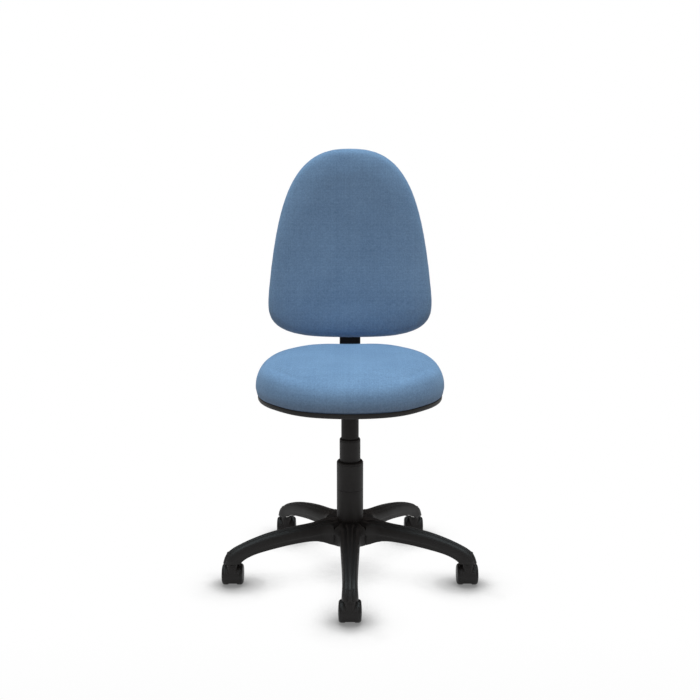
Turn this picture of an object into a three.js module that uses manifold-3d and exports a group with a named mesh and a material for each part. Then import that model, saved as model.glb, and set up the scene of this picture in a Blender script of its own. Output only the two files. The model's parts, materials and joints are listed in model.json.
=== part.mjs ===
// Swivel office chair: five-star base on twin-wheel casters, gas lift, tilting back.
// Millimetres, +Z up. The origin is on the floor under the column. The sitter faces -Y.
import * as THREE from 'three';
import { mergeVertices } from 'three/addons/utils/BufferGeometryUtils.js';
import Module from 'manifold-3d';

const wasm = await Module();
wasm.setup();

// ---------------------------------------------------------------- driving dimensions
const GAP = 0.3; // between pieces that touch
const OVERCUT = 1; // how far a cutting solid runs past the face that it cuts
const CLEAR_CUT = 20; // the same where a cut clears everything beyond a face

// Casters.
const WHEEL_RADIUS = 25;
const WHEEL_WIDTH = 16;
const WHEEL_SPACING = 20; // between the two inner faces
const WHEEL_EDGE = 1.5; // chamfer on the inner edge of the tread
const WHEEL_DOME = 5; // depth of the rounded outer shoulder
const WHEEL_DOME_POINTS = [[0.3, 0.6], [1.2, 0.9]]; // inwards and outwards, as shares of the depth
const CASTER_TRAIL = 15; // from stem to axle
const AXLE_RADIUS = 3;
const AXLE_BITE = 8; // how far the axle runs into each wheel
const STEM_RADIUS = 5.5;
const STEM_FLANGE_RADIUS = 9;
const STEM_FLANGE_HEIGHT = 2.5;
const STEM_IN_LEG = 22;
const STEM_ABOVE_AXLE = 2;
const HOOD_WIDTH = 37;
const HOOD_WALL = 1.8;
const HOOD_CLEARANCE = 1; // between tread and hood
const HOOD_LOWER_EDGE = 7; // above the floor
const HOOD_WEB_CLEARANCE = 1.3; // between web and wheel
const HOOD_COLLAR_RADIUS = 12;
const HOOD_NECK = 4.1; // collar height above the hood
const HOOD_REAR_ANGLE = THREE.MathUtils.degToRad(8); // where the hood ends behind the axle
const HOOD_AXLE_BOSS = 7.5; // reach of the web round the axle

// Five-star base.
const LEG_COUNT = 5;
const CASTER_CIRCLE = 293; // radius from the column to the caster stems
const LEG_WIDTH = 43; // at its widest, by the hub
const LEG_WALL = 3.5;
const LEG_TOP_WALL = 8;
const LEG_POCKETS = 3;
const LEG_RIB = 4; // between two pockets
const LEG_SOLID_END = 60; // from the last pocket to the caster stem
const HUB_MARGIN = 4.5; // of the hub's top round the column cover
const HUB_BOTTOM = 62;
const HUB_TOP = 137;
const HUB_CHAMFER = 3;

// Gas lift. All heights are with the seat at its highest.
const STANDING_TUBE_WALL = 2.2;
const STANDING_TUBE_BOTTOM = 64;
const STANDING_TUBE_TOP = 278;
const STANDING_TUBE_TAPER = 0.6; // how much thinner the foot of the tube is
const BOTTOM_PLATE = 3;
const BEARING_PLAY = 2.7; // round the bearing, inside the tube
const BEARING_HEIGHT = 4.7;
const ROD_RADIUS = 5;
const ROD_FOOT_RADIUS = 4;
const ROD_FOOT_DROP = 7; // below the bottom plate
const CLIP_RADIUS = 8.5;
const CLIP_HEIGHT = 2.5;
const PRESSURE_TUBE_RADIUS = 14;
const PRESSURE_TUBE_WALL = 2;
const PRESSURE_TUBE_BOTTOM = 190;
const PRESSURE_TUBE_LENGTH = 234;
const END_RING = 6;
const VALVE_PLUG = 15;
const PISTON_HEIGHT = 15;
const PISTON_CLEARANCE = 0.4;
const PISTON_END_STOP = 4; // from the end ring to the piston
const PIN_RADIUS = 4;
const PIN_LENGTH = 14;
const PIN_STANDS_OUT = 5;
const BUSH_WALL = 1.7;
const BUSH_LENGTH = 78;
const BUSH_FLANGE_HEIGHT = 2.7;

// Telescopic column cover.
const COVER_WALL = 1.6;
const COVER_CHAMFER = 3.5;
const COVER_SLIDE = 0.5; // radial clearance between two stages
const COVER_CLEARANCE = 0.9; // between the standing tube and the upper stage
const MIDDLE_STEP = 4.1; // from the upper stage's radius to the middle one's
const LOWER_STEP = 6.9; // from the middle stage's radius to the lower one's
const LOWER_COVER_FOOT = 1; // how far its foot stands out
const LOWER_COVER_TOP = 283;
const MIDDLE_COVER_BOTTOM = 249;
const MIDDLE_COVER_TOP = 339;
const UPPER_COVER_BOTTOM = 304;
const COVER_FLANGE = 3; // height of the flange at the foot of a stage

// Seat mechanism.
const HOUSING_FRONT = -50;
const HOUSING_REAR = 110;
const HOUSING_HEIGHT = 40;
const HOUSING_WALL = 2.5;
const SOCKET_WALL = 4;
const SOCKET_HEIGHT = 20;
const REAR_WINDOW_PLAY = 8; // at each side of the bar
const REAR_WINDOW_SILL = 6; // above the housing's underside
const PLATE_WIDTH = 160;
const PLATE_FRONT = -85;
const PLATE_REAR = 105;
const PLATE_THICKNESS = 2.9;
const PLATE_CORNER = 14;
const TILT_AXLE_RADIUS = 5;
const TILT_AXLE_BEHIND = 85; // behind the column
const TILT_AXLE_ABOVE = 22; // above the housing's underside
const TILT_AXLE_HEAD = 9;
const HUB_TO_WALL = 8.5; // from the bar's hub to the housing's wall
const AXLE_HEAD_THICKNESS = 5;
const LEVER_HUB_WIDTH = 11;
const LEVER_HUB_RADIUS = 10;
const LEVER_RADIUS = 3.5;
const LEVER_REACH = 150; // from the column to the end of each grip
const LEVER_DROP = 17; // grip below the lever's pivot
const LEVER_SLOPE = 1.4; // sideways run for each millimetre of drop
const LEVER_STRAIGHT = 10; // from the housing to the first bend
const LEVER_BEND = 6;
const LEVER_STEPS = 16;
const LEVER_TO_PLATE = 2.7;
const TILT_ARM_START = 2; // in front of the tilt axle
const GRIP_LENGTH = 46;
const GRIP_WIDTH = 24;
const GRIP_THICKNESS = 9;
const GRIP_EDGE = 2; // chamfer round the grip
const TILT_LEVER_FORWARD = 34; // grip in front of the tilt axle

// Back bar and bracket.
const RECLINE = THREE.MathUtils.degToRad(8);
const BAR_WIDTH = 50;
const BAR_THICKNESS = 8;
const BAR_BEND_RADIUS = 50;
const BAR_HUB_RADIUS = 11;
const BAR_HUB_OVERHANG = 6; // of the hub past each edge of the bar
const BACK_PLANE_Y = 262; // the bar's middle, at the back plane's height
const BACK_PLANE_UP = 119; // above the tilt axle
const BAR_TOP = 175; // along the bar from the back plane's point
const SLEEVE_WALL = 2;
const SLEEVE_BOTTOM = -60;
const SLEEVE_TOP = 50;
const BRACKET_BOTTOM = 60;
const BRACKET_TOP = 170;
const BRACKET_WALL = 3.3;
const BRACKET_SIDE = 6;
const BRACKET_EAR = 20;
const BRACKET_BOSS_RADIUS = 11;
const BRACKET_BOSS_HEIGHT = 5;
const KNOB_UP = 35; // above the bracket's foot
const KNOB_RADIUS = 21;
const KNOB_THICKNESS = 18;
const KNOB_LOBES = 6;
const KNOB_LOBE_DEPTH = 2.5;
const KNOB_LOBE_POINTS = 8;
const STUD_RADIUS = 4;

// Upholstery boards, shells and cushions.
const BOARD_THICKNESS = 9;
const BOARD_INSET = 14; // from the cushion's outline
const SHELL_WALL = 2.5;
const SEAT_SHELL_INSET = 4;
const BACK_SHELL_INSET = 6;
const SEAT_WIDTH = 442;
const SEAT_FRONT_REACH = 217; // from the widest line to the front edge
const SEAT_REAR_REACH = 223;
const SEAT_WIDEST_Y = -15;
const SEAT_FRONT_POWER = 2.15;
const SEAT_REAR_POWER = 2.9;
const SEAT_CUSHION_HEIGHT = 85;
const SEAT_REAR_ROLL = 0.5; // how far the rear edge rolls in, as a share of the sides' roll
const WATERFALL_START = 95; // in front of the widest line
const WATERFALL_DROP = 0.22; // share of the cushion's height
const BACK_WIDTH = 420;
const BACK_LOWER_REACH = 95; // from the widest line to the lower edge
const BACK_UPPER_REACH = 385;
const BACK_LOWER_POWER = 3.1;
const BACK_UPPER_POWER = 2.5;
const BACK_UPPER_TAPER = 10;
const BACK_LOWER_EDGE = 6; // along the bar from the back plane's point
const BACK_CUSHION_DEPTH = 51.5;
const BACK_LOWER_ROLL = 0.6; // how far the lower edge rolls in, as a share of the sides' roll
const ARM_PAD = { width: 44, length: 60, height: 2, fromEdge: 43, y: 60 };

// Fasteners.
const SCREW_RADIUS = 3;
const SCREW_HEAD_RADIUS = 6;
const SCREW_HEAD_HEIGHT = 3.6;
const SCREW_IN_BOARD = 7;
const SCREW_COVER = 1; // board left over each screw hole
const SEAT_SCREW_SIDE = 15; // from the plate's side edges
const SEAT_SCREW_END = 25; // from the plate's front and rear edges
const BACK_SCREW_UP = 80; // above the bracket's foot

// Facets round a full turn.
const FINE = 24;
const MEDIUM = 20;
const COARSE = 12;

// ---------------------------------------------------------------- sizes worked out
const WHEEL_INNER_FACE = WHEEL_SPACING / 2;
const HOOD_RADIUS = WHEEL_RADIUS + HOOD_CLEARANCE + HOOD_WALL;
const HOOD_TOP = WHEEL_RADIUS + HOOD_RADIUS + HOOD_NECK;
const LEG_END_HEIGHT = HOOD_TOP + STEM_FLANGE_HEIGHT + 2 * GAP;
const STEM_TOP = LEG_END_HEIGHT + STEM_IN_LEG;
const STANDING_TUBE_INNER = PRESSURE_TUBE_RADIUS + BUSH_WALL + 2 * GAP;
const STANDING_TUBE_RADIUS = STANDING_TUBE_INNER + STANDING_TUBE_WALL;
const BEARING_RADIUS = STANDING_TUBE_INNER - STANDING_TUBE_TAPER - BEARING_PLAY;
const BEARING_BOTTOM = STANDING_TUBE_BOTTOM + BOTTOM_PLATE + GAP;
const ROD_SHOULDER = BEARING_BOTTOM + BEARING_HEIGHT + GAP;
const UPPER_COVER_RADIUS = STANDING_TUBE_RADIUS + COVER_CLEARANCE + COVER_WALL;
const MIDDLE_COVER_RADIUS = UPPER_COVER_RADIUS + MIDDLE_STEP;
const LOWER_COVER_RADIUS = MIDDLE_COVER_RADIUS + LOWER_STEP;
const HUB_RADIUS = LOWER_COVER_RADIUS + HUB_MARGIN;
const PRESSURE_TUBE_TOP = PRESSURE_TUBE_BOTTOM + PRESSURE_TUBE_LENGTH;
const PIN_TOP = PRESSURE_TUBE_TOP + PIN_STANDS_OUT;
const LEVER_HEIGHT = PIN_TOP + GAP + LEVER_RADIUS;
const HOUSING_TOP = LEVER_HEIGHT + LEVER_RADIUS + LEVER_TO_PLATE;
const HOUSING_BOTTOM = HOUSING_TOP - HOUSING_HEIGHT;
const PLATE_BOTTOM = HOUSING_TOP + GAP;
const SEAT_SHELL_BOTTOM = PLATE_BOTTOM + PLATE_THICKNESS + GAP;
const SEAT_BOARD_BOTTOM = SEAT_SHELL_BOTTOM + SHELL_WALL + GAP;
const SEAT_CUSHION_BOTTOM = SEAT_BOARD_BOTTOM + BOARD_THICKNESS + GAP;
const TILT_AXLE_HEIGHT = HOUSING_BOTTOM + TILT_AXLE_ABOVE;
const BAR_HUB_WIDTH = BAR_WIDTH + 2 * BAR_HUB_OVERHANG;
const HOUSING_WIDTH = BAR_HUB_WIDTH + 2 * (HUB_TO_WALL + HOUSING_WALL);
const BACK_PLANE_Z = TILT_AXLE_HEIGHT + BACK_PLANE_UP;
// Distances in front of the back bar's middle plane.
const BRACKET_FRONT = BAR_THICKNESS / 2 + GAP + BRACKET_WALL;
const BACK_SHELL_REAR = BRACKET_FRONT + GAP;
const BACK_BOARD_REAR = BACK_SHELL_REAR + SHELL_WALL + GAP;
const BACK_CUSHION_REAR = BACK_BOARD_REAR + BOARD_THICKNESS + GAP;
const KNOB_HEIGHT = BRACKET_BOTTOM + KNOB_UP;
const BACK_SCREW_HEIGHT = BRACKET_BOTTOM + BACK_SCREW_UP;
const BACK_SCREW_X = BAR_WIDTH / 2 + BRACKET_SIDE + BRACKET_EAR / 2;

const SEAT_OUTLINE = {
  halfWidth: SEAT_WIDTH / 2,
  low: SEAT_FRONT_REACH,
  high: SEAT_REAR_REACH,
  lowPower: SEAT_FRONT_POWER,
  highPower: SEAT_REAR_POWER,
  highTaper: 0,
};
const BACK_OUTLINE = {
  halfWidth: BACK_WIDTH / 2,
  low: BACK_LOWER_REACH,
  high: BACK_UPPER_REACH,
  lowPower: BACK_LOWER_POWER,
  highPower: BACK_UPPER_POWER,
  highTaper: BACK_UPPER_TAPER,
};

// ---------------------------------------------------------------- materials
function finish(color, roughness, metalness) {
  return new THREE.MeshStandardMaterial({ color, roughness, metalness });
}

const NYLON = finish(0x2b2c2d, 0.55, 0);
const TREAD = finish(0x222324, 0.6, 0);
const STEEL = finish(0x9a9c9e, 0.35, 1);
const CHROME = finish(0xc9cbcd, 0.15, 1);
const BLACK_STEEL = finish(0x1f2021, 0.45, 0.6);
const PLYWOOD = finish(0xc49a64, 0.8, 0);
const FABRIC = finish(0x6389b5, 0.95, 0);

// ---------------------------------------------------------------- solids
function toSolid(geometry) {
  const plain = geometry.clone();
  plain.deleteAttribute('normal');
  plain.deleteAttribute('uv');
  const merged = mergeVertices(plain, 1e-4);
  const vertProperties = new Float32Array(merged.attributes.position.array);
  const triVerts = new Uint32Array(merged.index.array);
  return new wasm.Manifold(new wasm.Mesh({ numProp: 3, vertProperties, triVerts }));
}

function toGeometry(solid) {
  const mesh = solid.getMesh();
  const geometry = new THREE.BufferGeometry();
  geometry.setAttribute('position', new THREE.BufferAttribute(mesh.vertProperties, 3));
  geometry.setIndex(new THREE.BufferAttribute(mesh.triVerts, 1));
  geometry.computeVertexNormals();
  return geometry;
}

// The union of the added geometries, less the removed ones.
function combine(added, removed = []) {
  let solid = toSolid(added[0]);
  for (const geometry of added.slice(1)) {
    solid = solid.add(toSolid(geometry));
  }
  for (const geometry of removed) {
    solid = solid.subtract(toSolid(geometry));
  }
  return toGeometry(solid);
}

function box(xRange, yRange, zRange) {
  const [sizeX, sizeY, sizeZ] = [xRange, yRange, zRange].map(([low, high]) => high - low);
  const [midX, midY, midZ] = [xRange, yRange, zRange].map(([low, high]) => (low + high) / 2);
  return new THREE.BoxGeometry(sizeX, sizeY, sizeZ).translate(midX, midY, midZ);
}

// A solid of revolution about Z. The profile is a list of [radius, height].
function turned(profile, segments) {
  const points = profile.map(([radius, height]) => new THREE.Vector2(radius, height));
  return new THREE.LatheGeometry(points, segments).rotateX(Math.PI / 2);
}

// A ring of rectangular section about Z.
function ring(inner, outer, bottom, top, segments) {
  const profile = [[inner, bottom], [outer, bottom], [outer, top], [inner, top], [inner, bottom]];
  return turned(profile, segments);
}

function uprightRod(radius, bottom, top, segments) {
  return turned([[0, bottom], [radius, bottom], [radius, top], [0, top]], segments);
}

// A round rod along X.
function crossRod(radius, left, right, segments) {
  return uprightRod(radius, left, right, segments).rotateY(Math.PI / 2);
}

// A shape drawn in the YZ plane, extruded along X about the middle.
function extrudeAcross(shape, width, curveSegments) {
  const geometry = new THREE.ExtrudeGeometry(shape, { depth: width, bevelEnabled: false, curveSegments });
  const yAxis = new THREE.Vector3(0, 1, 0);
  const zAxis = new THREE.Vector3(0, 0, 1);
  const xAxis = new THREE.Vector3(1, 0, 0);
  const sideView = new THREE.Matrix4().makeBasis(yAxis, zAxis, xAxis);
  return geometry.translate(0, 0, -width / 2).applyMatrix4(sideView);
}

function addCap(points, faces, first, count, facesForward) {
  const middle = new THREE.Vector3();
  for (let i = 0; i < count; i++) {
    middle.addScaledVector(points[first + i], 1 / count);
  }
  const middleIndex = points.length;
  points.push(middle);
  for (let i = 0; i < count; i++) {
    const here = first + i;
    const next = first + ((i + 1) % count);
    faces.push(middleIndex, facesForward ? here : next, facesForward ? next : here);
  }
}

// A closed solid through rings of equally many points, each ring anticlockwise seen from the last.
function loft(rings) {
  const count = rings[0].length;
  const points = rings.flat();
  const faces = [];
  for (let level = 0; level < rings.length - 1; level++) {
    for (let i = 0; i < count; i++) {
      const here = level * count + i;
      const next = level * count + ((i + 1) % count);
      faces.push(here, next, next + count);
      faces.push(here, next + count, here + count);
    }
  }
  addCap(points, faces, 0, count, false);
  addCap(points, faces, (rings.length - 1) * count, count, true);
  const geometry = new THREE.BufferGeometry().setFromPoints(points);
  geometry.setIndex(faces);
  geometry.computeVertexNormals();
  return geometry;
}

// A superellipse outline with different reaches and powers on its low and high sides.
// The roll is the share of the inset that the low and the high reach take.
function cushionOutline(spec, inset, roll = { low: 1, high: 1 }, count = 36) {
  const outline = [];
  for (let i = 0; i < count; i++) {
    const angle = (2 * Math.PI * i) / count;
    const across = Math.cos(angle);
    const along = Math.sin(angle);
    const isLow = along < 0;
    const power = 2 / (isLow ? spec.lowPower : spec.highPower);
    const reach = isLow ? spec.low - roll.low * inset : spec.high - roll.high * inset;
    const share = Math.abs(along) ** power;
    const taper = isLow ? 0 : spec.highTaper * Math.sin(Math.PI * share);
    const half = Math.max((spec.halfWidth - inset) * Math.abs(across) ** power - taper, 0);
    outline.push(new THREE.Vector2(Math.sign(across) * half, Math.sign(along) * reach * share));
  }
  return outline;
}

// A flat plate of a cushion's outline, from bottom to top.
function outlinePlate(spec, inset, bottom, top) {
  const shape = new THREE.Shape(cushionOutline(spec, inset));
  const geometry = new THREE.ExtrudeGeometry(shape, { depth: top - bottom, bevelEnabled: false });
  return geometry.translate(0, 0, bottom);
}

// A shallow tray: a floor with a rim that stands up to the given height.
function outlineTray(spec, inset, bottom, rimTop) {
  const outer = outlinePlate(spec, inset, bottom, rimTop);
  const inner = outlinePlate(spec, inset + SHELL_WALL, bottom + SHELL_WALL, rimTop + OVERCUT);
  return combine([outer], [inner]);
}

// ---------------------------------------------------------------- the assembly
const chair = new THREE.Group();

function addPiece(name, geometry, material, parent = chair) {
  const mesh = new THREE.Mesh(geometry, material.clone());
  mesh.name = name;
  parent.add(mesh);
  return mesh;
}

// ---------------------------------------------------------------- casters
function wheelGeometry() {
  const bore = AXLE_RADIUS + GAP;
  const boreEnd = AXLE_BITE + GAP;
  const shoulder = WHEEL_WIDTH - WHEEL_DOME;
  const profile = [
    [0, boreEnd],
    [bore, boreEnd],
    [bore, 0],
    [WHEEL_RADIUS - WHEEL_EDGE, 0],
    [WHEEL_RADIUS, WHEEL_EDGE],
    [WHEEL_RADIUS, shoulder],
    ...WHEEL_DOME_POINTS.map(([inwards, outwards]) => {
      return [WHEEL_RADIUS - inwards * WHEEL_DOME, shoulder + outwards * WHEEL_DOME];
    }),
    [0, WHEEL_WIDTH],
  ];
  return turned(profile, MEDIUM);
}

// Side views of the hood, with the axle at the origin and the front towards -Y.
function hoodArc(shape, radius, clockwise) {
  const frontAngle = Math.PI + Math.asin((WHEEL_RADIUS - HOOD_LOWER_EDGE) / radius);
  const from = clockwise ? frontAngle : HOOD_REAR_ANGLE;
  const to = clockwise ? HOOD_REAR_ANGLE : frontAngle;
  shape.absarc(0, 0, radius, from, to, clockwise);
}

function hoodGeometry() {
  const treadSide = HOOD_RADIUS - HOOD_WALL;
  const lowerEdge = HOOD_LOWER_EDGE - WHEEL_RADIUS;
  const fenderShape = new THREE.Shape();
  hoodArc(fenderShape, HOOD_RADIUS, true);
  hoodArc(fenderShape, treadSide, false);
  const webShape = new THREE.Shape();
  hoodArc(webShape, treadSide + HOOD_WALL / 2, true);
  webShape.lineTo(HOOD_AXLE_BOSS, -HOOD_AXLE_BOSS / 2);
  webShape.lineTo(0, -HOOD_AXLE_BOSS);
  webShape.lineTo(-CASTER_TRAIL / 2, lowerEdge);
  const webWidth = WHEEL_SPACING - 2 * HOOD_WEB_CLEARANCE;
  const collarBottom = HOOD_TOP - HOOD_NECK - 2 * HOOD_WALL - WHEEL_RADIUS;
  const collarTop = HOOD_TOP - WHEEL_RADIUS;
  const collar = uprightRod(HOOD_COLLAR_RADIUS, collarBottom, collarTop, COARSE);
  const boreBottom = AXLE_RADIUS + STEM_ABOVE_AXLE / 2;
  const stemBore = uprightRod(STEM_RADIUS + GAP, boreBottom, collarTop + OVERCUT, COARSE);
  const added = [
    extrudeAcross(fenderShape, HOOD_WIDTH, 7),
    extrudeAcross(webShape, webWidth, 7),
    collar.translate(0, -CASTER_TRAIL, 0),
  ];
  const removed = [
    stemBore.translate(0, -CASTER_TRAIL, 0),
    crossRod(AXLE_RADIUS + GAP, -WHEEL_INNER_FACE, WHEEL_INNER_FACE, COARSE),
  ];
  return combine(added, removed);
}

function stemGeometry() {
  const stemBottom = WHEEL_RADIUS + AXLE_RADIUS + STEM_ABOVE_AXLE;
  const flangeBottom = LEG_END_HEIGHT - GAP - STEM_FLANGE_HEIGHT;
  const profile = [
    [0, stemBottom],
    [STEM_RADIUS, stemBottom],
    [STEM_RADIUS, flangeBottom],
    [STEM_FLANGE_RADIUS, flangeBottom],
    [STEM_FLANGE_RADIUS, flangeBottom + STEM_FLANGE_HEIGHT],
    [STEM_RADIUS, flangeBottom + STEM_FLANGE_HEIGHT],
    [STEM_RADIUS, STEM_TOP],
    [0, STEM_TOP],
  ];
  return turned(profile, COARSE);
}

function addCaster(number) {
  const angle = (2 * Math.PI * (number - 1)) / LEG_COUNT;
  const caster = new THREE.Group();
  caster.position.set(CASTER_CIRCLE * Math.sin(angle), -CASTER_CIRCLE * Math.cos(angle), 0);
  chair.add(caster);
  addPiece(`caster_${number}_stem`, stemGeometry(), STEEL, caster);

  const running = new THREE.Group();
  running.position.set(0, CASTER_TRAIL, WHEEL_RADIUS);
  caster.add(running);
  const axleEnd = WHEEL_INNER_FACE + AXLE_BITE;
  addPiece(`caster_${number}_hood`, hoodGeometry(), NYLON, running);
  addPiece(`caster_${number}_axle`, crossRod(AXLE_RADIUS, -axleEnd, axleEnd, COARSE), STEEL, running);
  for (const [side, sign] of [['left', -1], ['right', 1]]) {
    const wheel = addPiece(`caster_${number}_wheel_${side}`, wheelGeometry(), TREAD, running);
    wheel.rotation.y = (sign * Math.PI) / 2;
    wheel.position.x = sign * WHEEL_INNER_FACE;
  }
}

// ---------------------------------------------------------------- five-star base
// Each station joins a point on the leg's underside to one on its top. Points are given as
// [share of the caster circle, share of the rise from the leg's end to the hub's top].
const LEG_STATIONS = [
  { under: [0.068, 0.08], top: [0.068, 1], width: 1 },
  { under: [0.205, 0.31], top: [0.205, 1.04], width: 1 },
  { under: [0.348, 0.4], top: [0.345, 0.95], width: 1 },
  { under: [0.512, 0.37], top: [0.512, 0.9], width: 0.95 },
  { under: [0.676, 0.29], top: [0.683, 0.805], width: 0.88 },
  { under: [0.805, 0.21], top: [0.819, 0.675], width: 0.82 },
  { under: [0.88, 0.125], top: [0.928, 0.53], width: 0.79 },
  { under: [0.93, 0.04], top: [1.017, 0.375], width: 0.81 },
  { under: [0.942, 0.013], top: [1.058, 0.21], width: 0.85 },
  { under: [0.944, 0], top: [1.072, 0], width: 0.86 },
].map(({ under, top, width }) => ({
  under: legPoint(under),
  top: legPoint(top),
  half: (width * LEG_WIDTH) / 2,
}));

function legPoint([outwards, upwards]) {
  const rise = HUB_TOP - LEG_END_HEIGHT;
  return [outwards * CASTER_CIRCLE, LEG_END_HEIGHT + upwards * rise];
}

// Half of a leg's section as [share of half width, share of height], from the top rib down.
const LEG_SECTION = [
  [0.2, 0.99],
  [0.32, 0.94],
  [0.55, 0.94],
  [0.86, 0.83],
  [1, 0.6],
  [0.97, 0],
];

function legRing({ under, top, half }) {
  const place = (across, up) => {
    const reach = THREE.MathUtils.lerp(under[0], top[0], up);
    const height = THREE.MathUtils.lerp(under[1], top[1], up);
    return new THREE.Vector3(reach, half * across, height);
  };
  const downOneSide = LEG_SECTION.map(([across, up]) => place(-across, up));
  const upTheOther = LEG_SECTION.map(([across, up]) => place(across, up)).reverse();
  return [place(0, 1), ...downOneSide, ...upTheOther];
}

// The value of a leg's size at a given reach, read along straight lines between stations.
function legSizeAt(reach, reachOf, sizeOf) {
  const last = LEG_STATIONS.findIndex((station) => reachOf(station) >= reach);
  const [before, after] = [LEG_STATIONS[last - 1], LEG_STATIONS[last]];
  const share = (reach - reachOf(before)) / (reachOf(after) - reachOf(before));
  return THREE.MathUtils.lerp(sizeOf(before), sizeOf(after), share);
}

function legTopAt(reach) {
  return legSizeAt(reach, (station) => station.top[0], (station) => station.top[1]);
}

function legHalfAt(reach) {
  return legSizeAt(reach, (station) => station.top[0], (station) => station.half);
}

// One hollow in the leg's underside, between two cross ribs.
function legPocket(inner, outer) {
  const below = HUB_BOTTOM - CLEAR_CUT;
  const shape = new THREE.Shape([
    new THREE.Vector2(inner, below),
    new THREE.Vector2(outer, below),
    new THREE.Vector2(outer, legTopAt(outer) - LEG_TOP_WALL),
    new THREE.Vector2(inner, legTopAt(inner) - LEG_TOP_WALL),
  ]);
  const width = 2 * (legHalfAt(outer) - LEG_WALL);
  return extrudeAcross(shape, width, 1).rotateZ(-Math.PI / 2);
}

function starBaseGeometry() {
  const hub = turned([
    [0, HUB_BOTTOM],
    [HUB_RADIUS - HUB_CHAMFER, HUB_BOTTOM],
    [HUB_RADIUS, HUB_BOTTOM + HUB_CHAMFER],
    [HUB_RADIUS, HUB_TOP - HUB_CHAMFER],
    [HUB_RADIUS - HUB_CHAMFER, HUB_TOP],
    [0, HUB_TOP],
  ], FINE);
  const bore = turned([
    [0, HUB_BOTTOM - OVERCUT],
    [STANDING_TUBE_RADIUS - STANDING_TUBE_TAPER + GAP, HUB_BOTTOM - OVERCUT],
    [STANDING_TUBE_RADIUS - STANDING_TUBE_TAPER + GAP, STANDING_TUBE_BOTTOM],
    [STANDING_TUBE_RADIUS + GAP, HUB_TOP],
    [STANDING_TUBE_RADIUS + GAP, HUB_TOP + CLEAR_CUT],
    [0, HUB_TOP + CLEAR_CUT],
  ], MEDIUM);
  const firstPocket = HUB_RADIUS + LEG_RIB;
  const lastPocket = CASTER_CIRCLE - LEG_SOLID_END;
  const pitch = (lastPocket - firstPocket) / LEG_POCKETS;
  const added = [hub];
  const removed = [bore];
  for (let leg = 0; leg < LEG_COUNT; leg++) {
    const turn = (2 * Math.PI * leg) / LEG_COUNT - Math.PI / 2;
    added.push(loft(LEG_STATIONS.map(legRing)).rotateZ(turn));
    const socket = uprightRod(STEM_RADIUS + GAP, LEG_END_HEIGHT - OVERCUT, STEM_TOP + OVERCUT, COARSE);
    removed.push(socket.translate(CASTER_CIRCLE, 0, 0).rotateZ(turn));
    for (let pocket = 0; pocket < LEG_POCKETS; pocket++) {
      const inner = firstPocket + pocket * pitch;
      removed.push(legPocket(inner, inner + pitch - LEG_RIB).rotateZ(turn));
    }
  }
  removed.push(uprightRod(HUB_RADIUS, HUB_TOP, HUB_TOP + CLEAR_CUT, FINE));
  return combine(added, removed);
}

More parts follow.
